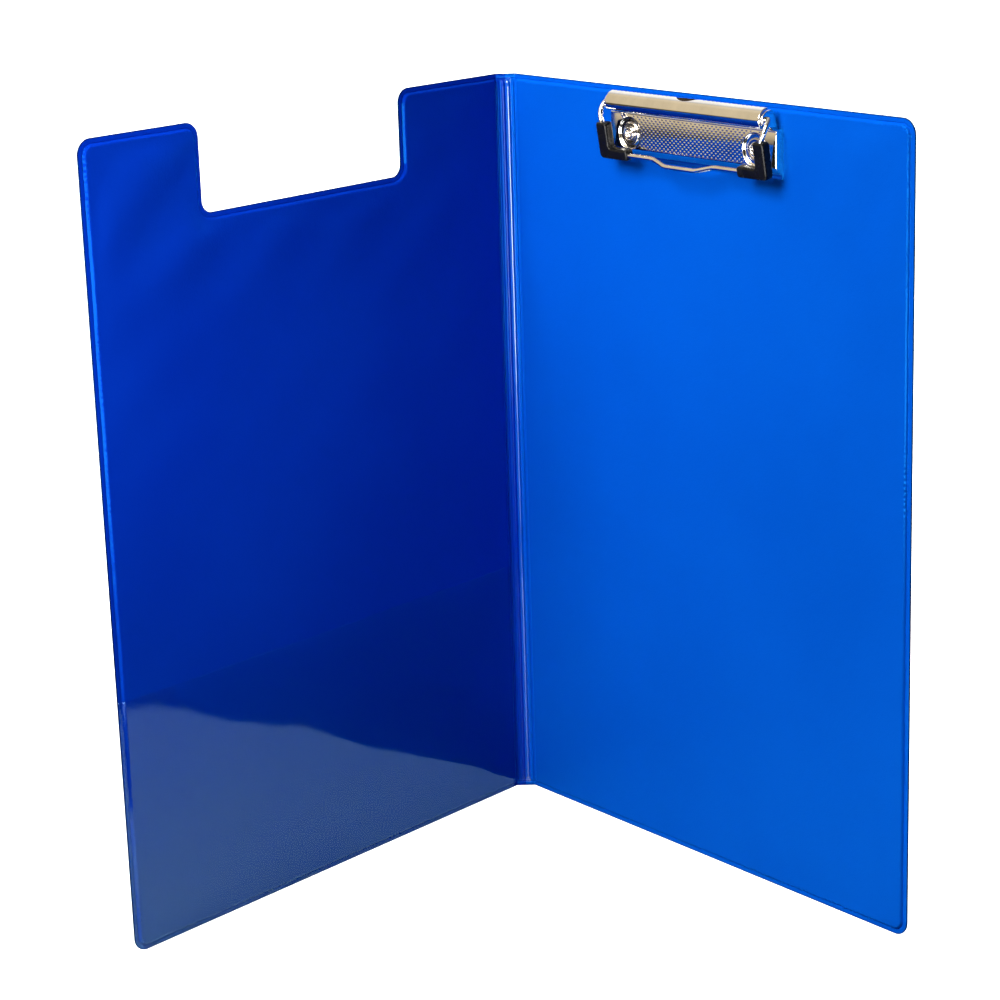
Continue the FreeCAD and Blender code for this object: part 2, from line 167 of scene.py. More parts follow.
def fill(poly, holes, inner):
    """Triangles of a polygon with holes and inner points, as indices into poly + holes + inner."""
    loops = [poly] + list(holes)
    pts = np.concatenate(loops + ([inner] if len(inner) else []))
    edges, base = [], 0
    for lp in loops:
        n = len(lp)
        edges += [(base + i, base + (i + 1) % n) for i in range(n)]
        base += n
    res = delaunay_2d_cdt([Vector((float(a), float(b))) for a, b in pts], edges, [], 0, 1e-6, True)
    back = [ov[0] for ov in res[3]]
    tri = np.array([[back[i] for i in f] for f in res[2] if len(f) == 3])
    c = pts[tri].mean(1)
    keep = in_polygon(c, poly)
    for h in holes:
        keep &= ~in_polygon(c, h)
    tri = tri[keep]
    a, b, c = pts[tri[:, 0]], pts[tri[:, 1]], pts[tri[:, 2]]
    area = (b[:, 0] - a[:, 0]) * (c[:, 1] - a[:, 1]) - (b[:, 1] - a[:, 1]) * (c[:, 0] - a[:, 0])
    tri[area < 0] = tri[area < 0][:, ::-1]
    return tri


# ------------------------------------------------------- the panel outline ----
COLS = np.concatenate([np.linspace(0, 4.0, 23), np.linspace(4.0, 5.0, 7)[1:],
                       [5.12, 5.24, 5.36, 5.5, 5.68, 5.9, 6.15, 6.45, 6.8, 7.2, 7.8]])


def outline(notched, step):
    """Open outline of one half, from the spine's foot round the panel to the spine's head:
    points, inward normals, distance along it."""
    P, Q = [], []

    def add(x, z, a, b):
        P.append((x, z))
        Q.append((a, b))

    def line(a, b, nrm, first=True):
        L = math.dist(a, b)
        n = max(1, round(L / step))
        for i in range(0 if first else 1, n):
            t = i / n
            add(a[0] + (b[0] - a[0]) * t, a[1] + (b[1] - a[1]) * t, *nrm)

    def arc(cx, cz, r, a0, a1, sign):
        n = max(6, round(abs(math.radians(a1 - a0)) * r / (step * 0.8)))
        for i in range(n):
            a = math.radians(a0 + (a1 - a0) * i / n)
            add(cx + r * math.cos(a), cz + r * math.sin(a), sign * math.cos(a), sign * math.sin(a))

    for x in COLS[:-1]:
        add(x, 0.0, 0.0, 1.0)
    R, RN = CORNER_R, NOTCH_R
    line((COLS[-1], 0.0), (EDGE - R, 0.0), (0, 1))
    arc(EDGE - R, R, R, -90, 0, -1)
    line((EDGE, R), (EDGE, HEIGHT - R), (-1, 0))
    arc(EDGE - R, HEIGHT - R, R, 0, 90, -1)
    x = EDGE - R
    if notched:
        line((EDGE - R, 340.0), (181.1 + RN, 340.0), (0, -1))
        arc(181.1 + RN, 340.0 - RN, RN, 90, 180, -1)
        line((181.1, 340.0 - RN), (181.1, 307.7), (1, 0))
        arc(176.1, 307.7, 5.0, 0, -90, 1)
        line((176.1, 302.7), (71.9, 302.7), (0, -1))
        arc(71.9, 307.7, 5.0, -90, -180, 1)
        line((66.9, 307.7), (66.9, 340.0 - RN), (-1, 0))
        arc(66.9 - RN, 340.0 - RN, RN, 0, 90, -1)
        x = 66.9 - RN
    line((x, 340.0), (COLS[-1], 340.0), (0, -1))
    for c in COLS[::-1]:
        add(c, 340.0, 0.0, -1.0)
    P, Q = np.array(P), np.array(Q)
    s = np.concatenate([[0], np.cumsum(np.hypot(*np.diff(P, axis=0).T))])
    return P, Q, s


def distance_to(pts, line_pts):
    """Distance of each point to an open polyline."""
    a, b = line_pts[:-1], line_pts[1:]
    d = b - a
    l2 = np.maximum((d ** 2).sum(1), 1e-12)
    best = np.full(len(pts), 1e9)
    for i in range(0, len(pts), 1500):
        p = pts[i:i + 1500]
        t = np.clip(((p[:, None] - a[None]) * d[None]).sum(2) / l2, 0, 1)
        q = a[None] + t[..., None] * d[None]
        best[i:i + 1500] = np.sqrt(((p[:, None] - q) ** 2).sum(2)).min(1)
    return best


# ---------------------------------------------------------- film surfaces ----
WELD_D, RAMP_W, RISE = 2.15, 1.15, 1.02


def rise(d):
    """How far the film has climbed onto the board at distance d inside the weld line."""
    return RISE * np.sin(np.clip((d - WELD_D - 0.1) / RAMP_W, 0, 1) * math.pi / 2)


def crease_rise(X):
    return RISE * np.sin(np.clip((X - 5.3) / 1.7, 0, 1) * math.pi / 2)


# ribs of each side: (distance from the middle line, height, half width, gloss)
RIBS = {REAR: ((1.1, 0.70, 1.06, 1.0), (3.3, 0.42, 0.80, 0.0)), COVER: ((1.1, 0.58, 0.92, 0.12), (3.3, 0.42, 0.76, 0.0))}


def ribs(side, X):
    h = np.zeros_like(X)
    for c, amp, w, g in RIBS[side]:
        t = np.clip(np.abs(X - c) / w, 0, 1)
        h = h + amp * (0.5 + 0.5 * np.cos(math.pi * t)) ** 0.72
    return h


def rib_gloss(side, X):
    g = np.zeros_like(X)
    for c, amp, w, k in RIBS[side]:
        g = np.maximum(g, k * smooth(w + 0.15, w - 0.25, np.abs(X - c)))
    return g


def clip_shadow(X, Z):
    """1 where the film must lie flat, under the clip."""
    x, v = X - 123.5, HEIGHT - Z
    return smooth(60, 50, np.abs(x)) * smooth(42, 33, v)


def film_height(key, X, Z, d, s=None):
    """Outer surface of a film above the weld plane."""
    side, inner = key
    seed = 11 + (side == COVER) * 7 + (not inner) * 3
    if s is None:
        shift, puck = 0.0, 0.0
    else:
        shift = 0.10 * hash_noise(s / 17.0, seed) + 0.05 * hash_noise(s / 5.0, seed + 1)
        mask = smooth(-0.15, 0.7, hash_noise(s / 31.0, seed + 2)) * 0.8 + 0.2
        t = np.clip((d - WELD_D - 0.05) / 1.5, 0, 1)
        wob = np.sin(s * 2.75 + 2.2 * hash_noise(s / 4.3, seed + 3)) + 0.5 * hash_noise(s / 0.9, seed + 4)
        puck = 0.19 * mask * wob * np.sin(math.pi * t) ** 1.3
        puck = puck + 0.010 * hash_noise(s / 1.3, seed + 5) * smooth(0.2, 0.6, d) * smooth(2.4, 1.7, d)
    dd = d - shift
    up = np.minimum(rise(dd), crease_rise(X))
    on_panel = smooth(5.4, 6.4, X)
    h = 0.33 + up
    h = h - 0.19 * np.exp(-((dd - WELD_D) / 0.15) ** 2) + 0.04 * np.exp(-((dd - WELD_D + 0.42) / 0.22) ** 2)
    h = h - 0.12 * np.exp(-((X - 5.22) / 0.14) ** 2) * smooth(2.6, 3.4, d)
    near = np.clip(up / RISE, 0, 1)
    h = h + puck * (on_panel if inner or side == COVER else on_panel * 0.8)
    lie = 1 - (clip_shadow(X, Z) if side == REAR else 0.0)
    soft = waves(X, Z, seed + 20, 7, 42.0, 130.0)
    fine = waves(X, Z, seed + 40, 6, 16.0, 34.0)
    far = smooth(3.0, 14.0, np.minimum(d, np.maximum(X - 5.0, 0)))
    edge_w = np.exp(-np.minimum(d, 60.0) / 22.0)
    h = h + near * lie * far * (0.055 * soft + 0.010 * fine + 0.05 * edge_w * fine)
    if inner and side == COVER:
        corner = np.exp(-np.hypot(X - 232, Z - 335) / 48.0) + 0.7 * np.exp(-np.hypot(X - 66, Z - 332) / 42.0) + 0.5 * np.exp(-np.hypot(X - 181, Z - 300) / 40.0)
        fold = np.clip(0.5 + 0.5 * waves(X, Z, 77, 4, 24.0, 44.0, lean=0.75), 0, 1.3)
        h = h + near * far * np.clip(corner, 0, 1) * 2.3 * fold
        h = h + near * far * 0.06 * waves(X, Z, 78, 4, 45.0, 90.0, lean=0.5) * smooth(120, 235, X)
    if inner and side == REAR:
        corner = np.exp(-np.hypot(X - 235, Z - 325) / 40.0)
        h = h + near * far * lie * corner * 1.3 * np.clip(0.5 + 0.5 * waves(X, Z, 79, 4, 28.0, 55.0, lean=2.4), 0, 1.3)
    fade = smooth(2.3, 5.0, d)
    if inner:
        wob = 0.05 * hash_noise(Z / 9.0 + 3, seed + 9)
        h = h + ribs(side, X + wob * smooth(4.3, 3.5, X) * smooth(0.0, 0.5, X)) * fade * (1 + 0.06 * hash_noise(Z / 6.0, seed + 6))
    else:
        for c in (1.1, 3.3):
            h = h - 0.13 * np.exp(-((X - c) / 0.22) ** 2) * fade
    return h


EDGE_PROFILE = [(0.05, 0.0), (0.0, 0.07), (0.0, 0.20), (0.035, 0.28), (0.13, 0.32)]
RINGS = [0.45, 1.1, 1.6, 1.86, 2.0, 2.12, 2.22, 2.36, 2.56, 2.82, 3.12, 3.45, 3.85, 4.4, 5.1, 6.1]
UNDER = [2.3, 2.8, 3.4, 4.4]
RIVETS = [(86.0, 321.1), (161.0, 321.1)]


def build_film(name, side, inner):
    key = (side, inner)
    notched = side == COVER
    step = 0.62 if inner else 1.1
    P, Q, s = outline(notched, step)
    N, C = len(P), len(COLS)
    holes = [] if notched else [np.array([(cx + 1.95 * math.cos(a), cz + 1.95 * math.sin(a))
                                          for a in np.linspace(0, 2 * math.pi, 33)[:-1]]) for cx, cz in RIVETS]
    xs, zs, ms, ds = [], [], [], []

    def put(p, m, d):
        start = sum(len(a) for a in xs)
        xs.append(p[:, 0])
        zs.append(p[:, 1])
        ms.append(np.broadcast_to(m, (len(p),)).astype(float))
        ds.append(np.broadcast_to(d, (len(p),)).astype(float))
        return start

    faces, ring0 = [], []
    # top surface: rings along the outline
    for d, m in EDGE_PROFILE:
        ring0.append(put(P + Q * d, m, d))
    for d in RINGS:
        p = P + Q * d
        ring0.append(put(p, film_height(key, p[:, 0], p[:, 1], np.full(N, d), s), d))
    K = len(ring0)
    for k in range(K - 1):
        a, b = ring0[k], ring0[k + 1]
        for i in range(N - 1):
            faces.append((a + i, a + i + 1, b + i + 1, b + i))
    last = P + Q * RINGS[-1]
    # spine and crease: a grid of columns and rows
    z0, z1 = RINGS[-1], HEIGHT - RINGS[-1]
    zr = np.linspace(z0, z1, (110 if inner else 60) + 1)[1:-1]
    grid = np.array([[(c, z) for c in COLS] for z in zr]).reshape(-1, 2)
    gd = np.minimum(grid[:, 1], HEIGHT - grid[:, 1])
    g0 = put(grid, film_height(key, grid[:, 0], grid[:, 1], gd), gd)

    def cell(r, j):
        if r == 0:
            return ring0[-1] + j
        if r == len(zr) + 1:
            return ring0[-1] + N - 1 - j
        return g0 + (r - 1) * C + j
    for r in range(len(zr) + 1):
        for j in range(C - 1):
            faces.append((cell(r, j), cell(r, j + 1), cell(r + 1, j + 1), cell(r + 1, j)))
    # panel: filled with triangles over a loose grid
    loop_i = [ring0[-1] + i for i in range(C - 1, N - C + 1)] + [cell(r, C - 1) for r in range(len(zr), 0, -1)]
    X, Z = np.concatenate(xs), np.concatenate(zs)
    poly = np.stack([X[loop_i], Z[loop_i]], 1)
    free = []
    for d, every in ((RINGS[-1] + 1.2, 2), (RINGS[-1] + 3.0, 4), (RINGS[-1] + 5.8, 7)):
        q = (P + Q * d)[C + 2:N - C - 2:every]
        free.append(q[q[:, 0] > COLS[-1] + (d - RINGS[-1])])
    sp = 5.5
    gx, gz = np.meshgrid(np.arange(COLS[-1] + 4, 240, sp), np.arange(8, 336, sp))
    gx = gx + (np.arange(gz.shape[0]) % 2)[:, None] * sp / 2
    g = np.stack([gx.ravel(), gz.ravel()], 1)
    gdist = distance_to(g, P)
    g = g[(gdist > RINGS[-1] + 7.5) & in_polygon(g, np.concatenate([P, [(0, 340), (0, 0)]]))]
    free = np.concatenate(free)
    fdist = distance_to(free, P)
    free = free[fdist > RINGS[-1] + 0.6]
    # drop points that crowd each other
    kept = []
    cells = {}
    for p in np.concatenate([free, g]):
        c = (int(p[0] / 1.6), int(p[1] / 1.6))
        near_by = [q for i in (-1, 0, 1) for j in (-1, 0, 1) for q in cells.get((c[0] + i, c[1] + j), ())]
        if all(math.dist(p, q) > 0.9 for q in near_by):
            kept.append(p)
            cells.setdefault(c, []).append(p)
    kept = np.array(kept)
    kept = kept[kept[:, 0] > COLS[-1] + 1.2]
    for h in holes:
        kept = kept[np.hypot(*(kept - h.mean(0)).T) > 2.8]
    kh = np.concatenate(holes) if holes else np.zeros((0, 2))
    hole_top = put(kh, film_height(key, kh[:, 0], kh[:, 1], np.full(len(kh), 18.9)), 18.9) if holes else 0
    dk = distance_to(kept, P)
    k0 = put(kept, film_height(key, kept[:, 0], kept[:, 1], dk), dk)
    index = loop_i + [hole_top + i for i in range(len(kh))] + [k0 + i for i in range(len(kept))]
    for t in fill(poly, holes, kept):
        faces.append(tuple(index[i] for i in t))
    # under surface, on the weld plane and the board
    under0 = [ring0[0]]
    for d in UNDER:
        p = P + Q * d
        m = np.maximum(0.0, np.minimum(rise(np.full(N, d)), crease_rise(p[:, 0])) - 0.02)
        under0.append(put(p, m, d))
    for k in range(len(under0) - 1):
        a, b = under0[k], under0[k + 1]
        for i in range(N - 1):
            faces.append((a + i, b + i, b + i + 1, a + i + 1))
    for j in range(C - 1):
        faces.append((under0[-1] + j, under0[-1] + N - 1 - j, under0[-1] + N - 2 - j, under0[-1] + j + 1))
    loop_b = [under0[-1] + i for i in range(C - 1, N - C + 1)]
    X, Z = np.concatenate(xs), np.concatenate(zs)
    polyb = np.stack([X[loop_b], Z[loop_b]], 1)
    hole_bot = put(kh, 1.0, 18.9) if holes else 0
    index = loop_b + [hole_bot + i for i in range(len(kh))]
    for t in fill(polyb, holes, np.zeros((0, 2))):
        faces.append(tuple(index[i] for i in t[::-1]))
    for h in range(len(holes)):
        for i in range(32):
            a, b = h * 32 + i, h * 32 + (i + 1) % 32
            faces.append((hole_top + b, hole_top + a, hole_bot + a, hole_bot + b))
    # wall on the spine's middle line
    chain = [r for r in ring0] + [cell(r, 0) for r in range(1, len(zr) + 1)] + [r + N - 1 for r in ring0[::-1]]
    low = [r for r in under0[1:]] + [r + N - 1 for r in under0[:0:-1]]
    wall = chain + low[::-1]
    faces.append(tuple(wall[::-1]))
    X, Z, M = np.concatenate(xs), np.concatenate(zs), np.concatenate(ms)
    D = np.concatenate(ds)
    # spine, crease and welded margin: this mask makes them smooth and also paints them lighter in the material, a
    # painted highlight
    gloss = np.maximum(smooth(5.4, 4.9, X), smooth(3.5, 3.0, D))
    # the outer 0.34 mm of the cut edge, painted dark in the material as painted shade
    rim = smooth(0.34, 0.14, D)
    rib = rib_gloss(side, X) * smooth(1.6, 2.6, D) if inner else np.zeros_like(X)
    co = place(side, X, Z, M if inner else -M)
    if (side == COVER) != (not inner):
        faces = [f[::-1] for f in faces]
    ob = make_object(name, co, faces)
    # corners: the wall, and the rivet holes
    me = ob.data
    wallset, hole_rim = set(wall), set(range(hole_top, hole_top + len(kh))) if holes else set()
    sharp = np.zeros(len(me.edges), bool)
    for e in me.edges:
        a, b = e.vertices
        if (a in wallset and b in wallset) or (a in hole_rim and b in hole_rim):
            sharp[e.index] = True
    me.attributes.new("sharp_edge", "BOOLEAN", "EDGE")
    me.attributes["sharp_edge"].data.foreach_set("value", sharp)
    for an, av in (("pressed_and_painted_light", gloss), ("rim", rim), ("rib", rib)):
        me.attributes.new(an, "FLOAT", "POINT").data.foreach_set("value", av.astype(np.float32))
    return ob


# the films, each from the spine's middle line to its free edge
films = {}
for nm, side, inner in (("rear_inner_film", REAR, True), ("cover_inner_film", COVER, True),
                        ("rear_outer_film", REAR, False), ("cover_outer_film", COVER, False)):
    films[nm] = build_film(nm, side, inner)


# -------------------------------------------------------------- the pocket ----
def build_pocket():
    """Clear film welded to the cover's margin on three sides, open along its top edge."""
    a, b, top, r = 5.35, EDGE - 0.42, 111.0, CORNER_R - 0.4
    low = 0.42
    fine = np.array([0, 0.05, 0.2, 0.6, 1.2, 1.7, 2.0, 2.25, 2.5, 2.8, 3.2, 3.8, 4.6, 6.0, 8.0])
    xs = np.concatenate([a + fine, np.arange(a + 11, b - 10, 3.6), b - fine[::-1]])
    rise_z = np.array([0, 0.05, 0.2, 0.6, 1.2, 1.7, 2.0, 2.25, 2.5, 2.8, 3.2, 3.8, 4.6, 6.0, 8.0])
    zs = np.concatenate([low + rise_z, np.arange(low + 10.5, top - 6, 3.4), top - np.array([4.0, 2.4, 1.3, 0.7, 0.35, 0.12, 0.0])])
    X, Z = np.meshgrid(xs, zs)
    # round the free lower corner
    cx, cz = b - r, low + r
    p, q = (X - cx) / r, (cz - Z) / r
    m = (p > 0) & (q > 0)
    k = np.where(m, np.maximum(p, q) / np.maximum(np.hypot(p, q), 1e-9), 1.0)
    X = np.where(m, cx + p * k * r, X)
    Z = np.where(m, cz - q * k * r, Z)
    P, Q, s = outline(True, 1.0)
    pts = np.stack([X.ravel(), Z.ravel()], 1)
    d = distance_to(pts, P).reshape(X.shape)
    base = film_height((COVER, True), X, Z, d) + 0.015
    # how far the film stands off the panel: welded at three sides, loose above
    t_side = np.minimum(np.minimum(d - 2.3, X - 7.2), 40.0)
    loose = smooth(0.0, 30.0, t_side)
    up = smooth(0.0, 60.0, Z - 2.3)
    bulge = 0.32 + 0.55 * up * (0.75 + 0.25 * waves(X, Z, 501, 4, 60, 140))
    sway = 0.26 * np.sin(X / 19.0 + 0.9) * np.exp(-((Z - 96) / 46.0) ** 2) + 0.17 * np.sin(X / 10.5 - 0.4 + Z / 40.0) * np.exp(-((Z - 80) / 40.0) ** 2)
    gap = loose * np.maximum(0.05, bulge + sway) + 0.10 * smooth(-0.1, 1.0, t_side)
    under = base + gap
    T = 0.25
    nz, nx = X.shape
    ring = np.minimum(np.minimum(d - 0.42, X - a), top - Z)
    thick = T * (0.35 + 0.65 * np.sqrt(np.clip(ring / 0.2, 0, 1)))
    over = under + thick
    top_v = place(COVER, X, Z, over).reshape(-1, 3)
    bot_v = place(COVER, X, Z, under).reshape(-1, 3)
    faces = []
    n = nz * nx
    for i in range(nz - 1):
        for j in range(nx - 1):
            f = (i * nx + j, i * nx + j + 1, (i + 1) * nx + j + 1, (i + 1) * nx + j)
            faces.append(f[::-1])
            faces.append(tuple(n + k for k in f))
    for j in range(nx - 1):
        faces.append((j, j + 1, n + j + 1, n + j))
        k = (nz - 1) * nx + j
        faces.append((k + 1, k, n + k, n + k + 1))
    for i in range(nz - 1):
        k, l = i * nx, (i + 1) * nx
        faces.append((l, k, n + k, n + l))
        k, l = k + nx - 1, l + nx - 1
        faces.append((k, l, n + l, n + k))
    ob = make_object("clear_pocket_film", np.concatenate([top_v, bot_v]), faces)
    return tidy(ob, 1e-6)


pocket = build_pocket()


# ---------------------------------------------------------------- the clip ----
def knurl(x, v):
    """Staggered raised points, 2.5 mm apart along the clip."""
    c = np.cos(x * 2 * math.pi / 2.5) * np.cos(v * 2 * math.pi / 1.9)
    up = np.clip((c - 0.22) / 0.78, 0, 1) ** 1.15
    m = smooth(43.6, 42.9, np.abs(x)) * smooth(10.95, 11.35, v) * smooth(25.0, 24.6, v)
    for cx in (-37.5, 37.5):
        m = m * smooth(7.55, 8.1, np.hypot(x - cx, v - 18.9))
    return 0.09 * up * m


def build_plate():
    half = 49.6
    mid = np.arange(-43.75, 43.751, 2.5 / 12)
    side = np.array([44.3, 45.0, 46.0, 47.0, 47.9, 48.5, 48.85])
    # (x, height cap) down over the rounded end and its wall
    end = [(49.08, 4.27), (49.27, 4.17), (49.43, 4.02), (49.54, 3.83), (49.585, 3.62)]
    end += [(49.6, n) for n in (3.35, 3.1, 2.85, 2.6, 2.35, 2.1, 1.85, 1.6, 1.35, 1.1, 0.85, 0.6, 0.35, 0.0)]
    xr = [(x, 9.0) for x in side] + end
    cols = [(-x, c) for x, c in xr[::-1]] + [(x, 9.0) for x in mid] + xr
    sec = [(9.6, 0.0), (9.6, 0.55), (9.6, 1.1), (9.62, 1.5), (9.70, 1.86), (9.86, 2.38), (10.06, 2.98), (10.26, 3.56),
           (10.38, 3.88), (10.52, 4.10), (10.72, 4.25), (10.92, 4.30)]
    sec += [(v, 4.3) for v in np.arange(11.02, 24.95, 0.19)]
    sec += [(25.02, 4.29), (25.25, 4.23), (25.47, 4.10), (25.70, 3.90), (26.1, 3.48), (26.7, 2.86), (27.4, 2.13),
            (28.0, 1.52), (28.28, 1.23), (28.52, 1.04), (28.80, 0.94), (29.15, 0.90), (29.6, 0.90), (30.0, 0.89), (30.2, 0.84),
            (30.33, 0.73), (30.39, 0.58), (30.4, 0.4), (30.4, 0.0)]
    cx = np.array([c[0] for c in cols])
    cap = np.array([c[1] for c in cols])
    sv = np.array([p[0] for p in sec])
    sn = np.array([p[1] for p in sec])
    X, V = np.meshgrid(cx, sv)
    crown = 0.34 * (np.clip(19.0 - V, 0, 8.2) / 8.0) ** 2 * smooth(10.3, 10.9, V)
    Nn = np.minimum(sn[:, None] - crown, cap[None, :])
    for c in (-37.5, 37.5):
        r = np.hypot(X - c, V - 18.9)
        dish = 4.3 - 0.95 * (1 - smooth(6.05, 7.25, r))
        Nn = np.where(r < 9, np.minimum(Nn, dish), Nn)
    Nn = Nn + knurl(X, V)
    # the knurling runs on over the rounded ends as short raised dashes
    wall = (np.abs(X) > 49.0) & (V > 10.9) & (V < 25.0)
    a = np.clip(np.cos(V * 2 * math.pi / 1.9), 0, 1) * np.exp(-((Nn - 2.75) / 0.5) ** 2)
    b = np.clip(-np.cos(V * 2 * math.pi / 1.9), 0, 1) * np.exp(-((Nn - 1.15) / 0.5) ** 2)
    X = X + np.sign(X) * np.where(wall, 0.17 * (a + b), 0)
    ny, nx = X.shape
    co = clip_place(X, V, Nn).reshape(-1, 3)
    faces = []
    for i in range(ny - 1):
        for j in range(nx - 1):
            k = i * nx + j
            faces.append((k, k + nx, k + nx + 1, k + 1))
    rim = [j for j in range(nx)] + [i * nx + nx - 1 for i in range(1, ny)] + [(ny - 1) * nx + j for j in range(nx - 2, -1, -1)] + [i * nx for i in range(ny - 2, 0, -1)]
    faces.append(tuple(rim))
    ob = make_object("clip_plate", co, faces)
    ob = tidy(ob, 4e-6)
    mark_sharp(ob, 50)
    return ob


plate = build_plate()


def spline(points, n):
    """Smooth curve through the points, resampled evenly: positions and unit tangents."""
    p = np.array(points, float)
    t = np.concatenate([[0], np.cumsum(np.linalg.norm(np.diff(p, axis=0), axis=1))])
    m = len(p)
    A = np.zeros((m, m))
    B = np.zeros_like(p)
    h = np.diff(t)
    A[0, 0] = A[-1, -1] = 1
    for i in range(1, m - 1):
        A[i, i - 1], A[i, i], A[i, i + 1] = h[i - 1], 2 * (h[i - 1] + h[i]), h[i]
        B[i] = 6 * ((p[i + 1] - p[i]) / h[i] - (p[i] - p[i - 1]) / h[i - 1])
    k = np.linalg.solve(A, B)

    def ev(q):
        i = np.clip(np.searchsorted(t, q) - 1, 0, m - 2)
        a, b = (t[i + 1] - q) / h[i], (q - t[i]) / h[i]
        return a[:, None] * p[i] + b[:, None] * p[i + 1] + ((a ** 3 - a)[:, None] * k[i] + (b ** 3 - b)[:, None] * k[i + 1]) * (h[i] ** 2)[:, None] / 6
    fine = ev(np.linspace(0, t[-1], 800))
    L = np.concatenate([[0], np.cumsum(np.linalg.norm(np.diff(fine, axis=0), axis=1))])

    def at(l):
        l = np.asarray(l, float)
        pos = np.stack([np.interp(l, L, fine[:, i]) for i in range(p.shape[1])], -1)
        e = 0.02
        q0 = np.stack([np.interp(np.clip(l - e, 0, L[-1]), L, fine[:, i]) for i in range(p.shape[1])], -1)
        q1 = np.stack([np.interp(np.clip(l + e, 0, L[-1]), L, fine[:, i]) for i in range(p.shape[1])], -1)
        d = q1 - q0
        return pos, d / np.linalg.norm(d, axis=-1, keepdims=True)
    return at, L[-1]


JAW = [(5.50, 1.35), (6.60, 1.40), (7.75, 1.85), (8.80, 2.75), (9.65, 4.00),
       (10.10, 5.40), (10.05, 6.80), (9.55, 8.00), (8.75, 8.75), (7.95, 9.00)]


def build_jaw():
    """Rolled bar with a toothed back edge and a hanging notch."""
    at, L = spline(JAW, 0)
    T = 0.4
    half = 46.0
    xs = []
    pitch = 2.5
    for k in range(-18, 19):
        c = k * pitch
        for o in (-1.25, -0.85, -0.66, -0.5, -0.25, 0.0, 0.25, 0.5, 0.66, 0.85):
            x = c + o
            if abs(x) < half - 0.35:
                xs.append(x)
    xs = sorted(set(round(x, 4) for x in xs) | {-half + s for s in (0.0, 0.05, 0.16, 0.34)} | {half - s for s in (0.0, 0.05, 0.16, 0.34)})
    xs = np.array(xs)
    cut = np.zeros(len(xs))
    for i, x in enumerate(xs):
        k = round(x / pitch)
        dx = abs(x - k * pitch)
        if abs(k * pitch) >= 7.6 and abs(x) < 45.4 and dx < 0.66:
            cut[i] = 0.75 * (0.5 + 0.5 * math.cos(math.pi * dx / 0.66)) ** 0.8
        if abs(x) < 6.87:
            cut[i] = max(cut[i], -1.2 + math.sqrt(9.6 ** 2 - x * x) - 5.5)
    L1 = 3.7
    tau = np.array([0, 0.03, 0.1, 0.22, 0.38, 0.55, 0.72, 0.87, 1.0])
    rest = L1 + (L - L1) * (np.arange(1, 27) / 26.0)
    thin = np.ones(len(xs))
    for i, x in enumerate(xs):
        e = half - abs(x)
        thin[i] = math.sqrt(max(0.0, 1 - (1 - min(1, e / 0.34)) ** 2)) * 0.7 + 0.3
    sections = []
    for x, c, th in zip(xs, cut, thin):
        l = np.concatenate([c + (L1 - c) * tau, rest])
        pos, tg = at(l)
        nrm = np.stack([tg[:, 1], -tg[:, 0]], -1)        # to the outside of the roll, in (n, v)
        # at the two long edges the sheet is rounded off
        roll = np.ones(len(l)) * T
        roll[0], roll[1] = T * 0.55, T * 0.9
        roll[-1], roll[-2] = T * 0.45, T * 0.85
        a = pos + nrm * (roll * th)[:, None]
        b = pos - nrm * (roll * th)[:, None]
        sec = np.concatenate([a, b[::-1]])
        sections.append(np.stack([np.full(len(sec), x), sec[:, 1], sec[:, 0]], -1))
    S = np.array(sections)
    nx, m = S.shape[:2]
    co = clip_place(S[..., 0], S[..., 1], S[..., 2]).reshape(-1, 3)
    faces = []
    for i in range(nx - 1):
        for j in range(m):
            k = (j + 1) % m
            faces.append((i * m + j, i * m + k, (i + 1) * m + k, (i + 1) * m + j))
    h = m // 2
    for base, flip in ((0, False), ((nx - 1) * m, True)):
        for j in range(h - 1):
            f = (base + j, base + m - 1 - j, base + m - 2 - j, base + j + 1)
            faces.append(f[::-1] if flip else f)
    ob = make_object("jaw_bar", co, faces)
    ob = tidy(ob, 1e-7)
    mark_sharp(ob, 48)
    return ob


jaw = build_jaw()


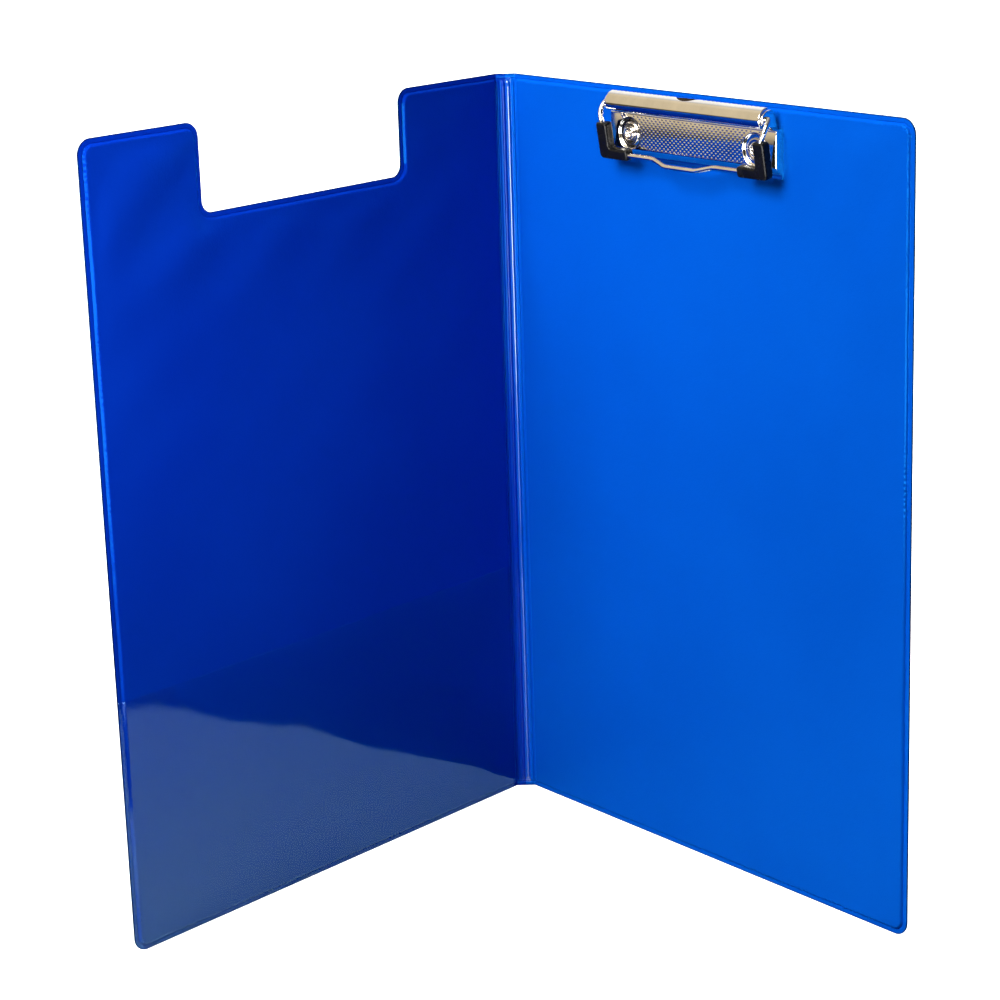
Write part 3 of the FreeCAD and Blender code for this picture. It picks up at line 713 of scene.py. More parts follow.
def rounded_prism(name, poly, x0, x1, bevel, segments=2, hole=None):
    """A (v, n) polygon extruded along the clip, its edges rounded, with an optional round hole."""
    poly = np.array(poly, float)
    if ((np.roll(poly[:, 0], -1) - poly[:, 0]) * (np.roll(poly[:, 1], -1) + poly[:, 1])).sum() > 0:
        poly = poly[::-1]
    loops = []
    holes = []
    if hole:
        hv, hn, hr = hole
        a = np.linspace(0, 2 * math.pi, 25)[:-1]
        holes = [np.stack([hv + hr * np.cos(a), hn + hr * np.sin(a)], 1)]
    # inset outlines give the rounded rim
    def inset(p, d):
        nxt, prv = np.roll(p, -1, 0), np.roll(p, 1, 0)
        e0 = (p - prv) / np.linalg.norm(p - prv, axis=1)[:, None]
        e1 = (nxt - p) / np.linalg.norm(nxt - p, axis=1)[:, None]
        n0 = np.stack([-e0[:, 1], e0[:, 0]], 1)
        n1 = np.stack([-e1[:, 1], e1[:, 0]], 1)
        b = n0 + n1
        b = b / np.maximum((b * n0).sum(1), 0.35)[:, None]
        return p + b * d
    rows = []
    for k in range(segments + 1):
        a = math.pi / 2 * k / segments
        rows.append((bevel * (1 - math.sin(a)), bevel * (1 - math.cos(a))))
    levels = [(x0 + dx, dp) for dp, dx in [(r[0], r[1]) for r in rows]]
    levels = [(x0 + bevel * (1 - math.cos(math.pi / 2 * k / segments)), bevel * (1 - math.sin(math.pi / 2 * k / segments))) for k in range(segments + 1)]
    levels += [(x1 - (lx - x0), d) for lx, d in levels[::-1]]
    co, faces = [], []
    n = len(poly)
    for x, d in levels:
        q = inset(poly, d) if d > 1e-9 else poly
        co.append(clip_place(np.full(n, x), q[:, 0], q[:, 1]))
    for k in range(len(levels) - 1):
        for i in range(n):
            j = (i + 1) % n
            faces.append((k * n + i, k * n + j, (k + 1) * n + j, (k + 1) * n + i))
    base = len(levels) * n
    for kx, (x, d) in ((0, levels[0]), (len(levels) - 1, levels[-1])):
        q = inset(poly, d) if d > 1e-9 else poly
        hidx = []
        if holes:
            co.append(clip_place(np.full(24, x), holes[0][:, 0], holes[0][:, 1]))
            hidx = [base + i for i in range(24)]
            base += 24
        idx = [kx * n + i for i in range(n)] + hidx
        for t in fill(q, holes, np.zeros((0, 2))):
            f = tuple(idx[i] for i in t)
            faces.append(f if kx else f[::-1])
    if holes:
        a0, b0 = base - 48, base - 24
        for i in range(24):
            j = (i + 1) % 24
            faces.append((a0 + i, a0 + j, b0 + j, b0 + i))
    ob = make_object(name, np.concatenate(co), faces)
    tidy(ob, 1e-7)
    mark_sharp(ob, 40)
    return ob


EAR = [(12.5, 0.6), (12.5, 3.2), (11.4, 3.75), (9.9, 4.1), (9.2, 5.0), (8.6, 6.4), (8.25, 7.6), (7.9, 8.6), (7.3, 9.4), (6.4, 9.95),
       (5.4, 9.95), (4.4, 9.6), (3.5, 8.9), (2.7, 7.9), (2.1, 6.8), (1.9, 5.6), (1.95, 4.4), (2.35, 3.5), (3.1, 2.9), (6.0, 1.9), (9.4, 0.6)]
def build_leaf():
    """Inner leaf of the jaw, seen through its hanging notch; its near-black metal is painted shade for the shadowed
    inside of the jaw.
    """
    xs = np.linspace(-8.6, 8.6, 25)
    line = np.array([(9.0, 4.2), (8.2, 3.4), (7.0, 2.75), (5.9, 2.45), (5.2, 2.15), (4.75, 1.65), (4.6, 1.15)])
    t = np.linspace(0, len(line) - 1, 19)
    X, T = np.meshgrid(xs, t)
    Nn = np.interp(T, np.arange(len(line)), line[:, 0])
    V = np.interp(T, np.arange(len(line)), line[:, 1]) + 0.30 * (X / 8.6) ** 2
    top = clip_place(X, V, Nn).reshape(-1, 3)
    bot = clip_place(X, V + 0.30, Nn - 0.15).reshape(-1, 3)
    ny, nx = X.shape
    k = ny * nx
    faces = []
    for i in range(ny - 1):
        for j in range(nx - 1):
            f = (i * nx + j, i * nx + j + 1, (i + 1) * nx + j + 1, (i + 1) * nx + j)
            faces += [f, tuple(k + q for q in f[::-1])]
    rim = [j for j in range(nx)] + [i * nx + nx - 1 for i in range(1, ny)] + [(ny - 1) * nx + j for j in range(nx - 2, -1, -1)] + [i * nx for i in range(ny - 2, 0, -1)]
    for a, b in zip(rim, rim[1:] + rim[:1]):
        faces.append((b, a, k + a, k + b))
    ob = make_object("jaw_inner_leaf", np.concatenate([top, bot]), faces)
    tidy(ob, 1e-7)
    mark_sharp(ob, 40)
    return ob


leaf = build_leaf()
ears = []
for sx, nm in ((-1, "clip_ear_left"), (1, "clip_ear_right")):
    x0 = 46.2 if sx > 0 else -47.1
    ears.append(rounded_prism(nm, EAR, x0, x0 + 0.9, 0.16, 2, (5.4, 7.2, 1.11)))

LUG = [(1.75, 7.4), (2.35, 8.25), (3.1, 9.0), (4.0, 9.6), (5.4, 10.0), (6.7, 9.95), (7.9, 9.45), (8.5, 8.7), (8.6, 8.0),
       (8.0, 7.0), (6.6, 5.5), (4.6, 5.1), (2.8, 5.9), (1.9, 6.6)]
lugs = []
for sx, nm in ((-1, "jaw_lug_left"), (1, "jaw_lug_right")):
    x0 = 43.2 if sx > 0 else -44.8
    lugs.append(rounded_prism(nm, LUG, x0, x0 + 1.6, 0.18, 2, (5.4, 7.2, 1.07)))


def centreline(points, step=0.28):
    """Straight runs joined by tangent arcs, as a dense line of points."""
    pts = [np.array(p[:3], float) for p in points]
    rad = [p[3] for p in points]
    out = [pts[0]]
    cur = pts[0]

    def run(a, b):
        n = max(1, int(np.linalg.norm(b - a) / 1.5))
        for i in range(1, n + 1):
            out.append(a + (b - a) * i / n)
    for i in range(1, len(pts) - 1):
        p = pts[i]
        a = (pts[i - 1] - p) / np.linalg.norm(pts[i - 1] - p)
        b = (pts[i + 1] - p) / np.linalg.norm(pts[i + 1] - p)
        ang = math.acos(np.clip(a @ b, -1, 1))
        t = rad[i] / math.tan(ang / 2)
        s, e = p + a * t, p + b * t
        c = p + (a + b) / np.linalg.norm(a + b) * rad[i] / math.sin(ang / 2)
        if np.linalg.norm(s - cur) > 1e-4:
            run(cur, s)
        turn = math.pi - ang
        n = max(3, int(rad[i] * turn / step))
        u0 = (s - c) / np.linalg.norm(s - c)
        u1 = (e - c) / np.linalg.norm(e - c)
        for k in range(1, n + 1):
            f = k / n
            d = (math.sin((1 - f) * turn) * u0 + math.sin(f * turn) * u1) / math.sin(turn)
            out.append(c + d * rad[i])
        cur = e
    run(cur, pts[-1])
    return np.array(out)


WIRE = [(42.0, 5.4, 7.2, 0), (48.5, 5.4, 7.2, 1.3), (49.7, 9.2, 10.5, 8.0), (47.1, 14.9, 11.2, 9.0), (46.9, 27.5, 8.9, 3.2),
        (18.6, 27.5, 8.9, 12.0), (9.2, 29.7, 10.7, 12.0)]


def build_wire(r=1.05, n=20):
    pts = [(x, v, k, q) for x, v, k, q in WIRE] + [(-x, v, k, q) for x, v, k, q in WIRE[::-1]]
    c = centreline(pts)
    keep = [0]
    for i in range(1, len(c)):
        if np.linalg.norm(c[i] - c[keep[-1]]) > 0.05:
            keep.append(i)
    c = c[keep]
    tg = np.gradient(c, axis=0)
    tg /= np.linalg.norm(tg, axis=1)[:, None]
    up = np.array([0.0, 0.0, 1.0])
    frames = []
    u = up - tg[0] * (up @ tg[0])
    u /= np.linalg.norm(u)
    for i in range(len(c)):
        u = u - tg[i] * (u @ tg[i])
        u /= np.linalg.norm(u)
        frames.append((u.copy(), np.cross(tg[i], u)))
    rings = []
    # rounded ends
    caps = [(-0.28, 0.55), (-0.12, 0.88), (0.0, 1.0)]
    stations = [(c[0] + tg[0] * o, s * r, 0) for o, s in caps]
    stations += [(c[i], r, i) for i in range(1, len(c) - 1)]
    stations += [(c[-1] - tg[-1] * o, s * r, len(c) - 1) for o, s in caps[::-1]]
    a = np.linspace(0, 2 * math.pi, n + 1)[:-1]
    for p, rr, i in stations:
        fu, fv = frames[i]
        rings.append(p + rr * (np.cos(a)[:, None] * fu + np.sin(a)[:, None] * fv))
    R = np.array(rings)
    k = len(R)
    co = clip_place(R[..., 0], R[..., 1], R[..., 2]).reshape(-1, 3)
    faces = [(i * n + j, i * n + (j + 1) % n, (i + 1) * n + (j + 1) % n, (i + 1) * n + j) for i in range(k - 1) for j in range(n)]
    faces += [tuple(range(n))[::-1], tuple((k - 1) * n + j for j in range(n))]
    ob = make_object("wire_bail", co, faces)
    tidy(ob, 1e-7)
    mark_sharp(ob, 50)
    return ob


wire = build_wire()


# grips: L-shaped moulded sleeves over the wire's lower corners
def build_grip(name, sx):
    v0, n0, v1, n1 = 14.2, 11.1, 29.7, 8.55
    L = math.hypot(v1 - v0, n1 - n0)
    dv, dn = (v1 - v0) / L, (n1 - n0) / L
    kv, kn = -dn, dv                      # out of the sleeve's front
    xo, xi, xf = 50.1, 43.9, 33.0       # outside, inside of the leg, end of the foot
    s_foot = L - 4.7

    def arc(cx, cs, r, a0, a1, m=6):
        return [(cx + r * math.cos(math.radians(a)), cs + r * math.sin(math.radians(a))) for a in np.linspace(a0, a1, m)]
    # outline in (x, s): s runs down the leg; small radii on the corners, a large one outside the elbow
    c = 1.15
    prof = arc(xi + c, c, c, 180, 270, 5) + arc(xo - c, c, c, 270, 360, 5)
    prof += [(xo, L * f) for f in (0.25, 0.5, 0.72)]
    prof += arc(xo - 2.3, L - 2.3, 2.3, 0, 90, 8)
    prof += [(xo - 2.3 - (xo - 2.3 - xf - c) * f, L) for f in (0.3, 0.6)]
    prof += arc(xf + c, L - c, c, 90, 180, 5) + arc(xf + c, s_foot + c, c, 180, 270, 5)
    prof += [(xf + c + (xi - 1.2 - xf - c) * f, s_foot) for f in (0.3, 0.6)]
    prof += arc(xi - 1.2, s_foot - 1.2, 1.2, 90, 0, 6)
    prof += [(xi, s_foot * f) for f in (0.7, 0.5, 0.3)]
    p = np.array(prof)
    n = len(p)
    nxt, prv = np.roll(p, -1, 0), np.roll(p, 1, 0)
    e0 = (p - prv) / np.maximum(np.linalg.norm(p - prv, axis=1), 1e-9)[:, None]
    e1 = (nxt - p) / np.maximum(np.linalg.norm(nxt - p, axis=1), 1e-9)[:, None]
    n0_ = np.stack([-e0[:, 1], e0[:, 0]], 1)
    n1_ = np.stack([-e1[:, 1], e1[:, 0]], 1)
    b = n0_ + n1_
    b = b / np.maximum((b * n0_).sum(1), 0.5)[:, None]
    back, front, r = -2.8, 1.7, 1.0
    levels = []
    for k in range(5):
        a = math.pi / 2 * k / 4
        levels.append((back + r * (1 - math.cos(a)), r * (1 - math.sin(a))))
    for k in range(5):
        a = math.pi / 2 * k / 4
        levels.append((front - r * (1 - math.sin(a)), r * (1 - math.cos(a))))
    co, faces = [], []
    for h, ins in levels:
        q = p + b * ins
        v = v0 + dv * q[:, 1] + kv * h
        m = n0 + dn * q[:, 1] + kn * h
        co.append(clip_place(sx * q[:, 0], v, m))
    for k in range(len(levels) - 1):
        for i in range(n):
            j = (i + 1) % n
            faces.append((k * n + i, k * n + j, (k + 1) * n + j, (k + 1) * n + i))
    for kx in (0, len(levels) - 1):
        q = p + b * levels[kx][1]
        for t in fill(q, [], np.zeros((0, 2))):
            f = tuple(kx * n + i for i in t)
            faces.append(f if kx else f[::-1])
    ob = make_object(name, np.concatenate(co), faces)
    tidy(ob, 1e-6)
    mark_sharp(ob, 55)
    return ob


grips = [build_grip("grip_sleeve_left", -1), build_grip("grip_sleeve_right", 1)]


def lathe(name, prof, cx, cv, n=72, sharp=35):
    """(radius, n) profile turned about a rivet's axis; the profile is a closed loop."""
    a = np.linspace(0, 2 * math.pi, n + 1)[:-1]
    p = np.array(prof, float)
    m = len(p)
    co = np.array([clip_place(cx + p[:, 0] * math.cos(t), cv + p[:, 0] * math.sin(t), p[:, 1]) for t in a]).reshape(-1, 3)
    faces = []
    for i in range(n):
        for j in range(m):
            k, l = (j + 1) % m, (i + 1) % n
            faces.append((i * m + j, i * m + k, l * m + k, l * m + j))
    ob = make_object(name, co, faces)
    tidy(ob, 1e-7)
    mark_sharp(ob, sharp)
    return ob


def rivet_profile():
    """Tubular rivet: rolled rim, flange in the dished seat, clinched tail."""
    back = -2 * FACE - 0.6
    roll = [(2.1 + 0.75 * math.cos(a), 4.25 + 0.78 * math.sin(a)) for a in np.linspace(math.radians(205), math.radians(-25), 13)]
    flange = [(3.02, 3.86), (3.3, 3.80), (3.6, 3.90), (3.95, 4.02), (4.3, 4.04), (4.62, 3.96), (4.85, 3.80), (4.95, 3.60), (4.92, 3.42)]
    tail = [(1.9, 3.42), (1.9, back), (3.2, back), (3.42, back - 0.12), (3.46, back - 0.34), (3.3, back - 0.55), (2.9, back - 0.7),
            (2.3, back - 0.76), (1.75, back - 0.7), (1.42, back - 0.5), (1.35, back - 0.25)]
    return roll + flange + tail


def washer_profile():
    back = -2 * FACE - 0.6
    return [(1.93, -2 * FACE), (1.93, back + 0.04), (1.97, back), (4.5, back), (4.8, back + 0.07), (4.95, back + 0.22), (5.0, back + 0.4), (5.0, -2 * FACE)]


rivets = [lathe("rivet_head_left", rivet_profile(), -37.5, 18.9), lathe("rivet_head_right", rivet_profile(), 37.5, 18.9)]
washers = [lathe("washer_left", washer_profile(), -37.5, 18.9), lathe("washer_right", washer_profile(), 37.5, 18.9)]


# --------------------------------------------------------------- materials ----
class Mat:
    def __init__(self, name):
        self.m = bpy.data.materials.new(name)
        self.m.use_nodes = True
        self.t = self.m.node_tree
        self.t.nodes.clear()
        self.out = self.t.nodes.new("ShaderNodeOutputMaterial")

    def n(self, kind, **kw):
        x = self.t.nodes.new("ShaderNode" + kind)
        for k, v in kw.items():
            if k in x.inputs.keys():
                x.inputs[k].default_value = v
            else:
                setattr(x, k, v)
        return x

    def link(self, a, b):
        self.t.links.new(a, b)

    def coords(self, scale=(1, 1, 1)):
        tc = self.n("TexCoord")
        mp = self.n("Mapping")
        mp.inputs["Scale"].default_value = scale
        self.link(tc.outputs["Object"], mp.inputs["Vector"])
        return mp.outputs["Vector"]

    def noise(self, vec, scale, detail=3.0, rough=0.55, dist=0.0):
        x = self.n("TexNoise")
        x.inputs["Scale"].default_value = scale
        x.inputs["Detail"].default_value = detail
        x.inputs["Roughness"].default_value = rough
        x.inputs["Distortion"].default_value = dist
        self.link(vec, x.inputs["Vector"])
        return x.outputs["Fac"]

    def ramp(self, fac, stops):
        x = self.n("ValToRGB")
        e = x.color_ramp.elements
        while len(e) < len(stops):
            e.new(0.5)
        for el, (p, c) in zip(e, stops):
            el.position = p
            el.color = (*c, 1) if len(c) == 3 else c
        self.link(fac, x.inputs["Fac"])
        return x.outputs["Color"]

    def maprange(self, fac, a, b, c, d):
        x = self.n("MapRange")
        for i, v in enumerate((a, b, c, d)):
            x.inputs[i + 1].default_value = v
        self.link(fac, x.inputs[0])
        return x.outputs[0]

    def bump(self, height, strength, distance, normal=None):
        x = self.n("Bump")
        x.inputs["Strength"].default_value = strength
        x.inputs["Distance"].default_value = distance
        self.link(height, x.inputs["Height"])
        if normal is not None:
            self.link(normal, x.inputs["Normal"])
        return x.outputs["Normal"]


def film_material(name, base, deep, light):
    """Soft plastic film: saturated blue, fine orange-peel grain, semi-gloss, smoother on the ribs."""
    m = Mat(name)
    v = m.coords()
    b = m.n("BsdfPrincipled")
    tone = m.noise(v, 9.0, 3.0, 0.5)
    col = m.ramp(tone, [(0.30, deep), (0.52, base), (0.74, light)])
    # painted light: the welded margin and the spine are painted up to 14 % lighter, a painted highlight; the cut edge
    # is painted dark, painted shade
    am, ar, ab = (m.n("Attribute") for _ in range(3))
    am.attribute_name, ar.attribute_name, ab.attribute_name = "pressed_and_painted_light", "rim", "rib"
    painted_margin_light = m.ramp(tone, [(0.30, tuple(1.02 * c for c in base)), (0.74, tuple(1.14 * c for c in base))])
    c1, c2 = m.n("Mix", data_type="RGBA"), m.n("Mix", data_type="RGBA")
    m.link(am.outputs["Fac"], c1.inputs[0])
    m.link(col, c1.inputs[6])
    m.link(painted_margin_light, c1.inputs[7])
    # painted shade: the cut edge is mixed down to 10 to 22 % of the base colour
    m.link(ar.outputs["Fac"], c2.inputs[0])
    m.link(c1.outputs[2], c2.inputs[6])
    m.link(m.ramp(tone, [(0.3, tuple(0.10 * c for c in base)), (0.7, tuple(0.22 * c for c in base))]), c2.inputs[7])
    m.link(c2.outputs[2], b.inputs["Base Color"])
    m.link(ab.outputs["Fac"], b.inputs["Coat Weight"])
    b.inputs["Coat Roughness"].default_value = 0.07
    b.inputs["Coat IOR"].default_value = 1.7
    b.inputs["Specular IOR Level"].default_value = 0.0
    # the film's gloss is blue as well: a tinted reflection under a Fresnel weight
    gl, fr, mx2 = m.n("BsdfGlossy"), m.n("Fresnel"), m.n("MixShader")
    gl.inputs["Color"].default_value = (0.015, 0.38, 0.92, 1)
    fr.inputs["IOR"].default_value = 1.34
    # welded and embossed places are smooth, the panels keep their grain
    at = m.n("Attribute")
    at.attribute_name = "pressed_and_painted_light"
    pressed_and_painted_light = at.outputs["Fac"]
    rg = m.noise(v, 60.0, 3.0, 0.6)
    r1 = m.maprange(rg, 0.3, 0.7, 0.33, 0.43)
    r2 = m.maprange(rg, 0.3, 0.7, 0.09, 0.16)
    mx = m.n("Mix")
    m.link(pressed_and_painted_light, mx.inputs[0])
    m.link(r1, mx.inputs[2])
    m.link(r2, mx.inputs[3])
    m.link(mx.outputs[0], b.inputs["Roughness"])
    m.link(mx.outputs[0], gl.inputs["Roughness"])
    grain = m.noise(v, 1300.0, 2.0, 0.55)
    peel = m.noise(v, 420.0, 2.0, 0.5)
    n1 = m.bump(peel, 0.35, 0.00012)
    n2 = m.bump(grain, 0.30, 0.00012, n1)
    m.link(m.maprange(pressed_and_painted_light, 0.0, 1.0, 0.45, 0.10), n1.node.inputs["Strength"])
    m.link(m.maprange(pressed_and_painted_light, 0.0, 1.0, 0.60, 0.08), n2.node.inputs["Strength"])
    for q in (b, gl, fr):
        m.link(n2, q.inputs["Normal"])
    m.link(fr.outputs[0], mx2.inputs[0])
    m.link(b.outputs[0], mx2.inputs[1])
    m.link(gl.outputs[0], mx2.inputs[2])
    m.link(mx2.outputs[0], m.out.inputs["Surface"])
    return m.m


def pocket_material():
    """Clear film: see-through with a Fresnel gloss on its outer side, slightly hazy."""
    m = Mat("clear_pocket_gloss")
    v = m.coords()
    tr = m.n("BsdfTransparent")
    haze = m.noise(v, 14.0, 4.0, 0.6)
    m.link(m.ramp(haze, [(0.25, (0.90, 0.96, 0.985)), (0.75, (0.93, 0.975, 0.99))]), tr.inputs["Color"])
    rg = m.noise(v, 35.0, 3.0, 0.6)
    gs = m.n("BsdfGlossy")
    gs.inputs["Color"].default_value = (0.21, 0.40, 0.55, 1)
    m.link(m.maprange(rg, 0.3, 0.7, 0.03, 0.08), gs.inputs["Roughness"])
    ripple = m.noise(v, 22.0, 2.0, 0.5, 0.4)
    nb = m.bump(ripple, 0.15, 0.0006)
    m.link(nb, gs.inputs["Normal"])
    # the refractive index is turned over on the film's inner face
    geo = m.n("NewGeometry")
    fr = m.n("Fresnel")
    m.link(m.maprange(geo.outputs["Backfacing"], 0.0, 1.0, 1.45, 1 / 1.45), fr.inputs["IOR"])
    m.link(nb, fr.inputs["Normal"])
    mix = m.n("MixShader")
    m.link(fr.outputs[0], mix.inputs[0])
    m.link(tr.outputs[0], mix.inputs[1])
    m.link(gs.outputs[0], mix.inputs[2])
    m.link(mix.outputs[0], m.out.inputs["Surface"])
    return m.m


def metal_material(name, color, rough, streak=(1, 1, 1), streak_scale=300.0, bump=0.00002):
    """Bright nickel plate with fine drawn marks and faint cloudiness."""
    m = Mat(name)
    v = m.coords()
    b = m.n("BsdfPrincipled")
    b.inputs["Metallic"].default_value = 1.0
    cloud = m.noise(v, 70.0, 3.0, 0.6)
    c2 = tuple(min(1, x * 1.06) for x in color)
    c1 = tuple(x * 0.90 for x in color)
    m.link(m.ramp(cloud, [(0.3, c1), (0.7, c2)]), b.inputs["Base Color"])
    vs = m.coords(streak)
    st = m.noise(vs, streak_scale, 4.0, 0.65)
    m.link(m.maprange(st, 0.3, 0.7, rough * 0.6, rough * 1.5), b.inputs["Roughness"])
    m.link(m.bump(st, 0.4, bump), b.inputs["Normal"])
    m.link(b.outputs[0], m.out.inputs["Surface"])
    return m.m


def grip_material():
    m = Mat("black_vinyl")
    v = m.coords()
    b = m.n("BsdfPrincipled")
    tone = m.noise(v, 150.0, 4.0, 0.6)
    m.link(m.ramp(tone, [(0.3, (0.0025, 0.0025, 0.0028)), (0.75, (0.006, 0.006, 0.0065))]), b.inputs["Base Color"])
    m.link(m.maprange(tone, 0.3, 0.7, 0.20, 0.32), b.inputs["Roughness"])
    b.inputs["Specular IOR Level"].default_value = 0.14
    fine = m.noise(v, 1500.0, 2.0, 0.6)
    m.link(m.bump(fine, 0.2, 0.00002), b.inputs["Normal"])
    m.link(b.outputs[0], m.out.inputs["Surface"])
    return m.m


def board_material():
    m = Mat("grey_board")
    v = m.coords()
    b = m.n("BsdfPrincipled")
    pulp = m.noise(v, 400.0, 6.0, 0.7)
    m.link(m.ramp(pulp, [(0.3, (0.30, 0.28, 0.25)), (0.7, (0.44, 0.42, 0.38))]), b.inputs["Base Color"])
    b.inputs["Roughness"].default_value = 0.9
    m.link(m.bump(pulp, 0.5, 0.0001), b.inputs["Normal"])
    m.link(b.outputs[0], m.out.inputs["Surface"])
    return m.m


# one blue film in two copies: the rear's copy is the lighter, greener tone of the lit panel, painted light, and the
# cover's copy is painted darker, painted shade
BLUE_REAR_LIT = film_material("blue_film", (0.0003, 0.056, 0.382), (0.0002, 0.052, 0.362), (0.0004, 0.061, 0.402))
BLUE_COVER_PAINTED_SHADE = film_material("blue_film_cover_painted_shade", (0.0003, 0.0160, 0.250), (0.0002, 0.0136, 0.235), (0.0004, 0.0188, 0.266))
CLEAR = pocket_material()
PLATED = metal_material("nickel_plate", (0.83, 0.80, 0.74), 0.055, (1, 1, 12), 90.0, 0.000004)
PLATE_M = metal_material("nickel_knurled", (0.80, 0.77, 0.72), 0.05, (1, 1, 1), 260.0, 0.000004)
WIRE_M = metal_material("nickel_wire", (0.85, 0.81, 0.74), 0.07, (1, 1, 1), 500.0, 0.000006)
RIVET_M = metal_material("rivet_plate", (0.60, 0.56, 0.52), 0.11, (1, 1, 1), 400.0, 0.000004)
# painted shade: the leaf's near-black metal stands in for the shadow inside the jaw
PAINTED_SHADE_LEAF_M = metal_material("painted_shade_leaf", (0.050, 0.034, 0.022), 0.30, (1, 1, 1), 300.0, 0.00001)
GRIP_M = grip_material()
BOARD_M = board_material()


def wear(ob, mat):
    ob.data.materials.clear()
    ob.data.materials.append(mat)
    return ob


for nm, ob in films.items():
    wear(ob, BLUE_COVER_PAINTED_SHADE if nm.startswith("cover") else BLUE_REAR_LIT)
wear(pocket, CLEAR)
wear(plate, PLATE_M)
wear(jaw, PLATED)
wear(wire, WIRE_M)
wear(leaf, PAINTED_SHADE_LEAF_M)
for ob in ears + lugs:
    wear(ob, PLATED)
for ob in grips:
    wear(ob, GRIP_M)
for ob in rivets + washers:
    wear(ob, RIVET_M)
for nm in ("rear_board", "front_board"):
    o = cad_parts[nm]
    o.data.materials.clear()
    o.data.materials.append(BOARD_M)

# ------------------------------------------------------- bodies ----
for nm in ("rear_inner_film", "rear_outer_film"):
    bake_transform(films[nm])
for nm in ("cover_inner_film", "cover_outer_film"):
    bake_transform(films[nm])
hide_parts("rear_inner_skin", "spine_inner_skin")
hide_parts("front_inner_skin", "spine_inner_skin")
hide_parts("rear_outer_skin", "spine_outer_skin")
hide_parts("front_outer_skin", "spine_outer_skin")
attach(pocket, "front_cover")
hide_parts("clear_pocket")
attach(plate, "rear_panel")
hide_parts("clip_base_plate")
for ob in ears + rivets + washers:
    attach(ob, "rear_panel")
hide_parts("rivet_left")
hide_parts("rivet_right")
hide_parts("rivet_washer_left")
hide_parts("rivet_washer_right")
for ob in [jaw, wire, leaf] + lugs + grips:
    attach(ob, "clip_lever")
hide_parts("clip_jaw")
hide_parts("clip_wire_bail")
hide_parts("corner_grip_left")
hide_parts("corner_grip_right")


# ------------------------------------------------------ floor, light, camera ----
def floor():
    me = bpy.data.meshes.new("studio_floor")
    s = 12.0
    me.from_pydata([(-s, -s, -0.0006), (s, -s, -0.0006), (s, s, -0.0006), (-s, s, -0.0006)], [], [(0, 1, 2, 3)])
    ob = bpy.data.objects.new("studio_floor", me)
    bpy.context.scene.collection.objects.link(ob)
    m = Mat("pale_floor")
    b = m.n("BsdfPrincipled")
    v = m.coords()
    m.link(m.ramp(m.noise(v, 2.0, 2.0), [(0.3, (0.86, 0.86, 0.86)), (0.7, (0.88, 0.88, 0.88))]), b.inputs["Base Color"])
    b.inputs["Roughness"].default_value = 0.8
    b.inputs["Specular IOR Level"].default_value = 0.2
    b.inputs["Emission Color"].default_value = (1.0, 1.0, 1.0, 1)
    b.inputs["Emission Strength"].default_value = 0.72
    m.link(b.outputs[0], m.out.inputs["Surface"])
    me.materials.append(m.m)
    ob.visible_glossy = False
    ob.visible_diffuse = False
    return ob


def backdrop():
    """Plain pale wall round the studio, seen by the camera only."""
    sides, r, top = 64, 11.5, 24.0
    verts, faces = [], []
    for k in range(sides):
        a = 2 * math.pi * k / sides
        verts += [(r * math.cos(a), r * math.sin(a), -0.0006), (r * math.cos(a), r * math.sin(a), top)]
    for k in range(sides):
        a, b = 2 * k, 2 * ((k + 1) % sides)
        faces.append((a, a + 1, b + 1, b))
    me = bpy.data.meshes.new("studio_backdrop")
    me.from_pydata(verts, [], faces)
    ob = bpy.data.objects.new("studio_backdrop", me)
    bpy.context.scene.collection.objects.link(ob)
    m = Mat("pale_backdrop")
    b = m.n("BsdfPrincipled")
    b.inputs["Base Color"].default_value = (0.86, 0.86, 0.86, 1)
    b.inputs["Roughness"].default_value = 0.8
    b.inputs["Emission Color"].default_value = (1.0, 1.0, 1.0, 1)
    b.inputs["Emission Strength"].default_value = 1.0
    m.link(b.outputs[0], m.out.inputs["Surface"])
    m.m.cycles.emission_sampling = "NONE"
    me.materials.append(m.m)
    ob.visible_diffuse = False
    ob.visible_glossy = False
    ob.visible_transmission = False
    ob.visible_shadow = False


floor()
backdrop()


def look_at(ob, target):
    d = Vector(target) - ob.location
    ob.rotation_mode = "QUATERNION"
    ob.rotation_quaternion = d.to_track_quat("-Z", "Y")


def area(name, loc, target, sx, sy, power, color=(1, 1, 1), spread=180.0):
    li = bpy.data.lights.new(name, "AREA")
    li.shape = "RECTANGLE"
    li.size, li.size_y = sx, sy
    li.energy = power
    li.color = color
    li.spread = math.radians(spread)
    ob = bpy.data.objects.new(name, li)
    ob.location = loc
    bpy.context.scene.collection.objects.link(ob)
    look_at(ob, target)
    ob.visible_camera = False
    return ob


def card(name, corners, color, strength=0.0, rough=0.9):
    """Studio card or flag: seen by reflections and bounced light, not by the camera."""
    me = bpy.data.meshes.new(name)
    me.from_pydata(corners, [], [tuple(range(len(corners)))])
    ob = bpy.data.objects.new(name, me)
    bpy.context.scene.collection.objects.link(ob)
    m = Mat(name + "_face")
    b = m.n("BsdfPrincipled")
    b.inputs["Base Color"].default_value = (*color, 1)
    b.inputs["Roughness"].default_value = rough
    b.inputs["Emission Color"].default_value = (*color, 1)
    b.inputs["Emission Strength"].default_value = strength
    m.link(b.outputs[0], m.out.inputs["Surface"])
    me.materials.append(m.m)
    ob.visible_camera = False
    return ob


